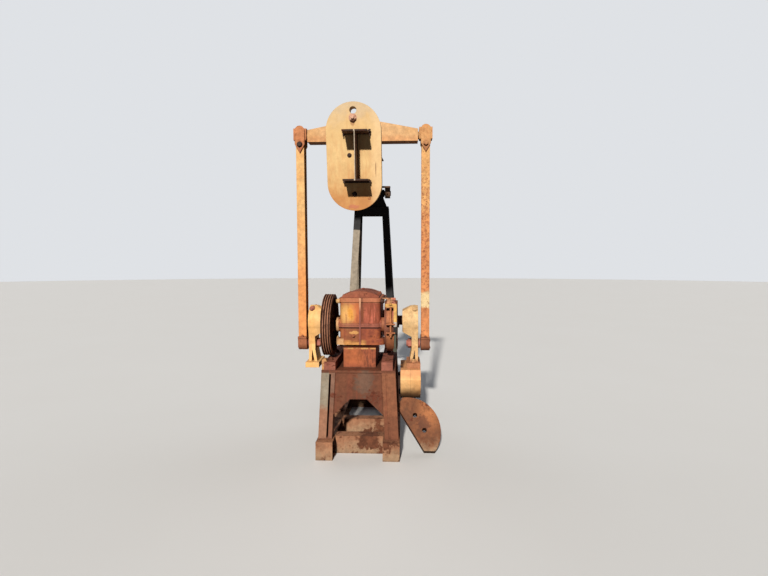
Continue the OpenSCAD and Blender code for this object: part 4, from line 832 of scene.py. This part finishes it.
def slab_colours(place, face, colour):
    wobble = wander(place, 0.12, 0.35, 6.0)
    z = place.along("Z") + wobble
    drips = clouds(place, 0.5, 5.0, 0.6, (22.0, 22.0, 1.0)).between(0.44, 0.62)
    low = z.between(2.5, 2.1)
    colour = (low * 0.6 + low * drips * 0.35).pick(colour, seen(218, 154, 88))
    colour = (z.between(2.3, 2.1) * 0.85).pick(colour, seen(206, 138, 78))
    colour = (z.between(2.72, 2.88) * 0.7).pick(colour, seen(222, 196, 160))
    colour = (drips * z.between(2.75, 2.6) * 0.3).pick(colour, seen(214, 150, 96))
    right_side = (place.along("X") + wobble * 0.1).between(0.08, 0.16)
    colour = (right_side * 0.6).pick(colour, seen(252, 214, 160))
    pink = spot(place, on_slab(0.0, -0.4), (0.05, 0.08, 0.022), ragged=2.4)
    colour = (pink * 0.6).pick(colour, seen(206, 118, 96))
    scratch = spot(place, on_slab(0.178, -0.1), (0.0035, 0.06, 0.06), ragged=0.8)
    colour = (scratch * 0.8).pick(colour, seen(120, 70, 40))
    stain = spot(place, on_slab(-0.005, 0.29), (0.02, 0.06, 0.05), ragged=1.2)
    return (stain * 0.55).pick(colour, seen(150, 84, 56))


slab_paint = weathered("slab_paint", (243, 204, 142), (233, 190, 128), chalk_rust,
                       rusted=0.06, streaks=0.12, specks=0.06, grime_and_shade=0.35, marks=slab_colours, pits=0.25,
                       mottled=0.15)
cream_nut = weathered("cream_nut", (242, 202, 170), (222, 160, 130), (96, 48, 40),
                      rusted=0.25, streaks=0.1, specks=0.2)
black_iron = weathered("black_iron", (56, 40, 34), (70, 48, 38), (82, 46, 34),
                       rusted=0.3, streaks=0.1)
dress(slab_paint, "tail_counterweight")
dress(black_iron, "tail_clamps")

hole_down, nut_down, nut_left = 0.066, 0.06, 0.005
nut_z = slab_middle_z + slab_half_h - hole_down - nut_down
slab_fittings = bmesh.new()
bolt(slab_fittings, (slab_middle_x - nut_left, slab_face_y, nut_z), thread=0.03, way=(0, -1, 0), stub=True)
fitting("slab_eye_nut", slab_fittings, "beam", cream_nut, beam_frame)

clamp_bolt_x, clamp_bar_t = 0.107, 0.014
behind_slab, before_slab = 0.02, 0.12
clamp_bolt_ys = (slab_face_y - behind_slab, slab_face_y + before_slab)
shank_r, shank_l = 0.005, 0.034
low_bolt_z = -0.018
clamp_bolts = bmesh.new()
for side in (-1, 1):
    x = side * clamp_bolt_x
    for y in clamp_bolt_ys:
        turned(clamp_bolts, (x, y, beam_top - shank_l), (0, 0, 1), straight(shank_r, shank_l))
        bolt(clamp_bolts, (x, y, beam_top), thread=0.01, way=(0, 0, -1))
        bolt(clamp_bolts, (x, y, beam_top + clamp_bar_t), thread=0.01)
        bolt(clamp_bolts, (x, y, beam_seat), thread=0.01)
bolt(clamp_bolts, (slab_middle_x, slab_face_y, low_bolt_z), thread=0.018, way=(0, -1, 0))
fitting("clamp_bolts", clamp_bolts, "beam", black_iron, beam_frame)

screw_x, screw_up, screw_out = -0.062, 0.014, 0.003
screw_z = slab_middle_z + screw_up
screw_boss = [(0, 0), (0.019, 0), (0.017, 0.004), (0, 0.004)]
set_screw = bmesh.new()
turned(set_screw, (screw_x, slab_face_y, screw_z), (0, -1, 0), screw_boss)
bolt(set_screw, (screw_x, slab_face_y - screw_out, screw_z), thread=0.01, way=(0, -1, 0))
fitting("slab_set_screw", set_screw, "beam", black_iron, beam_frame)


# The tail bearing: a pillow block bolted on the beam, in which the equalizer's shaft turns.
# It is cast iron, rust brown, and its cap sits under the equalizer's arch.

dress(saddle_iron, "tail_bearing")
bearing_y, bearing_foot_t = -1.152, 0.016
bearing_bolt_x, bearing_bolt_y = 0.05, 0.088
bearing_bolts = bmesh.new()
for side in (-1, 1):
    for end in (-1, 1):
        seat = (side * bearing_bolt_x, bearing_y + end * bearing_bolt_y, beam_top + bearing_foot_t)
        bolt(bearing_bolts, seat, thread=0.018, stub=True)
fitting("tail_bearing_bolts", bearing_bolts, "beam", shaft_steel, beam_frame)


# The equalizer: a welded beam across the machine, deep over its middle arch and tapering to the ends,
# which carries both pitmans. Its cream paint has gone orange along the lower edge.

bearing_axis = middle("equalizer_shaft")
pitman_lean = math.atan2(-bearing_axis.y, bearing_axis.z - wrist_z)
pitman_l = math.hypot(bearing_axis.y, bearing_axis.z - wrist_z)
pitman_frame = Matrix.Translation(bearing_axis) @ Matrix.Rotation(pitman_lean, 4, "X")


def arm_colours(place, face, colour):
    z = place.along("Z") + wander(place, 0.08, 0.12)
    low = z.between(2.84, 2.79)
    return (low * 0.5).pick(colour, seen(222, 152, 96))


arm_paint = weathered("arm_paint", (232, 184, 130), (220, 168, 112), chalk_rust,
                      rusted=0.14, streaks=0.15, specks=0.2, grime_and_shade=0.5, marks=arm_colours)
dress(arm_paint, "equalizer")
arm_half_t = 0.065
seam_x, seam_low, seam_top = 0.166, -0.058, 0.111
arm_seams = bmesh.new()
for side in (-1, 1):
    x = side * seam_x
    for face_y in (-arm_half_t, arm_half_t):
        weld(arm_seams, (x, face_y, seam_low), (x, face_y, seam_top))
fitting("equalizer_weld_beads", arm_seams, "pitmans", arm_paint, pitman_frame)


# The pitman heads: forged blocks with shield-shaped straps down both sides of each pitman, and one pin
# through straps and web. The left one has rusted to a deep orange, and the right one keeps some cream.

def shield_rust(place, face, colour):
    low = (place.along("Z") + wander(place, 0.04, 0.1)).between(2.8, 2.7)
    return (low * 0.7).pick(colour, seen(150, 84, 56))


left_head_paint = weathered("left_head_paint", (222, 150, 100), (200, 127, 80), (150, 78, 48),
                            rusted=0.36, streaks=0.4, specks=0.4, marks=shield_rust)
right_head_paint = weathered("right_head_paint", (226, 170, 110), (208, 138, 82), (166, 92, 52),
                             rusted=0.3, specks=0.4, marks=shield_rust)
dress(left_head_paint, "left_pitman_head")
dress(right_head_paint, "right_pitman_head")
pitman_x, strap_face, head_pin_z, head_pin_r = 0.587, 0.065, -0.082, 0.0135
for side, name in ((-1, "left"), (1, "right")):
    head_pin = bmesh.new()
    x = side * pitman_x
    pin = straight(head_pin_r, 2 * strap_face)
    turned(head_pin, (x, -strap_face, head_pin_z), (0, 1, 0), pin)
    bolt(head_pin, (x, -strap_face, head_pin_z), thread=0.024, way=(0, -1, 0))
    bolt(head_pin, (x, strap_face, head_pin_z), thread=0.024, way=(0, 1, 0), stub=True)
    finish = black_iron if side < 0 else right_head_paint
    fitting(name + "_head_pin", head_pin, "pitmans", finish, pitman_frame)


# The pitmans: two lengths of rolled section from the equalizer down to the wrist pins. The left one is
# orange cream all the way. The right one is speckled with rust, with one clean cream length low down.

def left_pitman_colours(place, face, colour):
    low = (place.along("Z") + wander(place, 0.2, 0.8, 4.0)).between(2.3, 1.2)
    return (low * 0.8).pick(colour, seen(240, 152, 84))


def right_pitman_colours(place, face, colour):
    z = place.along("Z") + wander(place, 0.05, 0.1)
    low = z.between(2.5, 1.5)
    colour = (low * 0.8).pick(colour, seen(222, 140, 86))
    pimples = clouds(place, 0.03, 8.0, 0.75).between(0.5, 0.56) * z.between(2.75, 2.2)
    colour = (pimples * 0.65).pick(colour, seen(160, 84, 50))
    clean = z.between(1.2, 1.23) * z.between(1.38, 1.34)
    colour = clean.pick(colour, seen(246, 216, 162))
    return (z.between(1.22, 1.15) * 0.7).pick(colour, seen(228, 148, 92))


left_pitman_paint = weathered("left_pitman_paint", (240, 194, 128), (238, 178, 110), chalk_rust,
                              rusted=0.12, streaks=0.2, specks=0.25, marks=left_pitman_colours)
right_pitman_paint = weathered("right_pitman_paint", (234, 178, 112), (224, 156, 94), chalk_rust,
                               rusted=0.26, streaks=0.25, specks=0.7, marks=right_pitman_colours)
dress(left_pitman_paint, "left_pitman")
dress(right_pitman_paint, "right_pitman")


# The wrist bearings: cast boxes bolted under the pitmans' feet, in which the wrist pins turn.
# They are brown with rust and old grease, and the left one is a little brighter.

def left_box_tone(place, face, colour):
    left = place.along("X").between(0.0, -0.1)
    return (left * 0.6).pick(colour, seen(186, 114, 76))


bearing_brown = weathered("bearing_brown", (158, 99, 69), (134, 82, 57), (116, 60, 42),
                          rusted=0.36, specks=0.4, marks=left_box_tone)
dress(bearing_brown, "left_wrist_bearing", "right_wrist_bearing")
box_face_x, box_ring = 0.629, 0.048
box_bolt_y, box_bolt_up = 0.064, 0.068
for side, name in ((-1, "left"), (1, "right")):
    bearing_screws = bmesh.new()
    for y in (-box_bolt_y, box_bolt_y):
        seat = (side * pitman_x, y, box_bolt_up - pitman_l)
        bolt(bearing_screws, seat, thread=0.014, stub=True)
    box_face = (side * box_face_x, 0.0, -pitman_l)
    bolt_ring(bearing_screws, box_face, box_ring, side, thread=0.009, count=4, first=45)
    fitting(name + "_bearing_bolts", bearing_screws, "pitmans", bearing_brown, pitman_frame)


# The studio: a plain pale floor that throws little light back, a sun from behind the camera, two soft fills
# from the machine's front, and a soft sky. The camera stands at eye height behind the machine's tail.

floor_finish = bpy.data.materials.new("studio_floor")
floor_finish.use_nodes = True
floor_tree = floor_finish.node_tree
floor_place = Wire(floor_tree.nodes.new("ShaderNodeTexCoord").outputs["Object"])
direct_look = Wire(floor_tree.nodes.new("ShaderNodeLightPath").outputs["Is Camera Ray"])
pale_floor = clouds(floor_place, 1.5, 3.0).pick((0.68, 0.665, 0.64, 1.0), (0.7, 0.69, 0.67, 1.0))
floor_tone = direct_look.pick((0.09, 0.09, 0.095, 1.0), pale_floor)
floor_shader = floor_tree.nodes["Principled BSDF"]
floor_tree.links.new(floor_tone.socket, floor_shader.inputs["Base Color"])
floor_shader.inputs["Roughness"].default_value = 0.9
floor_r, floor_t, floor_foot_z = 60.0, 0.0198, -0.02
floor_shop = bmesh.new()
turned(floor_shop, (0, 0, floor_foot_z), (0, 0, 1), straight(floor_r, floor_t), sides=64)
studio_floor = made("studio_floor", floor_shop, floor_finish)


def studio_sun(name, colour, way, energy, softness):
    lamp = bpy.data.lights.new(name, "SUN")
    lamp.energy = energy
    lamp.angle = math.radians(softness)
    lamp.color = colour
    sun = bpy.data.objects.new(name, lamp)
    sun.rotation_euler = Vector(way).to_track_quat("-Z", "Y").to_euler()
    scene.collection.objects.link(sun)


warm_white, cool_white = (1.0, 0.965, 0.91), (0.92, 0.96, 1.0)
studio_sun("sun", warm_white, (0.093, 0.888, -0.45), energy=5.1, softness=2.5)
studio_sun("left_front_fill", cool_white, (0.7, -0.6, -0.4), energy=0.8, softness=60.0)
studio_sun("right_front_fill", cool_white, (-0.7, -0.6, -0.4), energy=0.8, softness=60.0)

sky = bpy.data.worlds.new("sky")
sky.use_nodes = True
sky_nodes = sky.node_tree.nodes
backdrop = Wire(sky_nodes.new("ShaderNodeLightPath").outputs["Is Camera Ray"])
sky_light = backdrop.pick((0.032, 0.038, 0.056, 1.0), (0.74, 0.76, 0.79, 1.0))
sky.node_tree.links.new(sky_light.socket, sky_nodes["Background"].inputs["Color"])
scene.world = sky
scene.view_settings.view_transform = "Standard"

picture_w_px, shift_px = 768, -20.8
eye_height = 1.6
look_left = math.radians(2.5)
photo_lens = bpy.data.cameras.new("photo_camera")
photo_lens.lens = 20.28
photo_lens.sensor_width = 36.0
photo_lens.shift_y = shift_px / picture_w_px
photo_camera = bpy.data.objects.new("photo_camera", photo_lens)
photo_camera.location = (0.375, -4.175, eye_height)
photo_camera.rotation_euler = (math.pi / 2, 0.0, look_left)
scene.collection.objects.link(photo_camera)
scene.camera = photo_camera
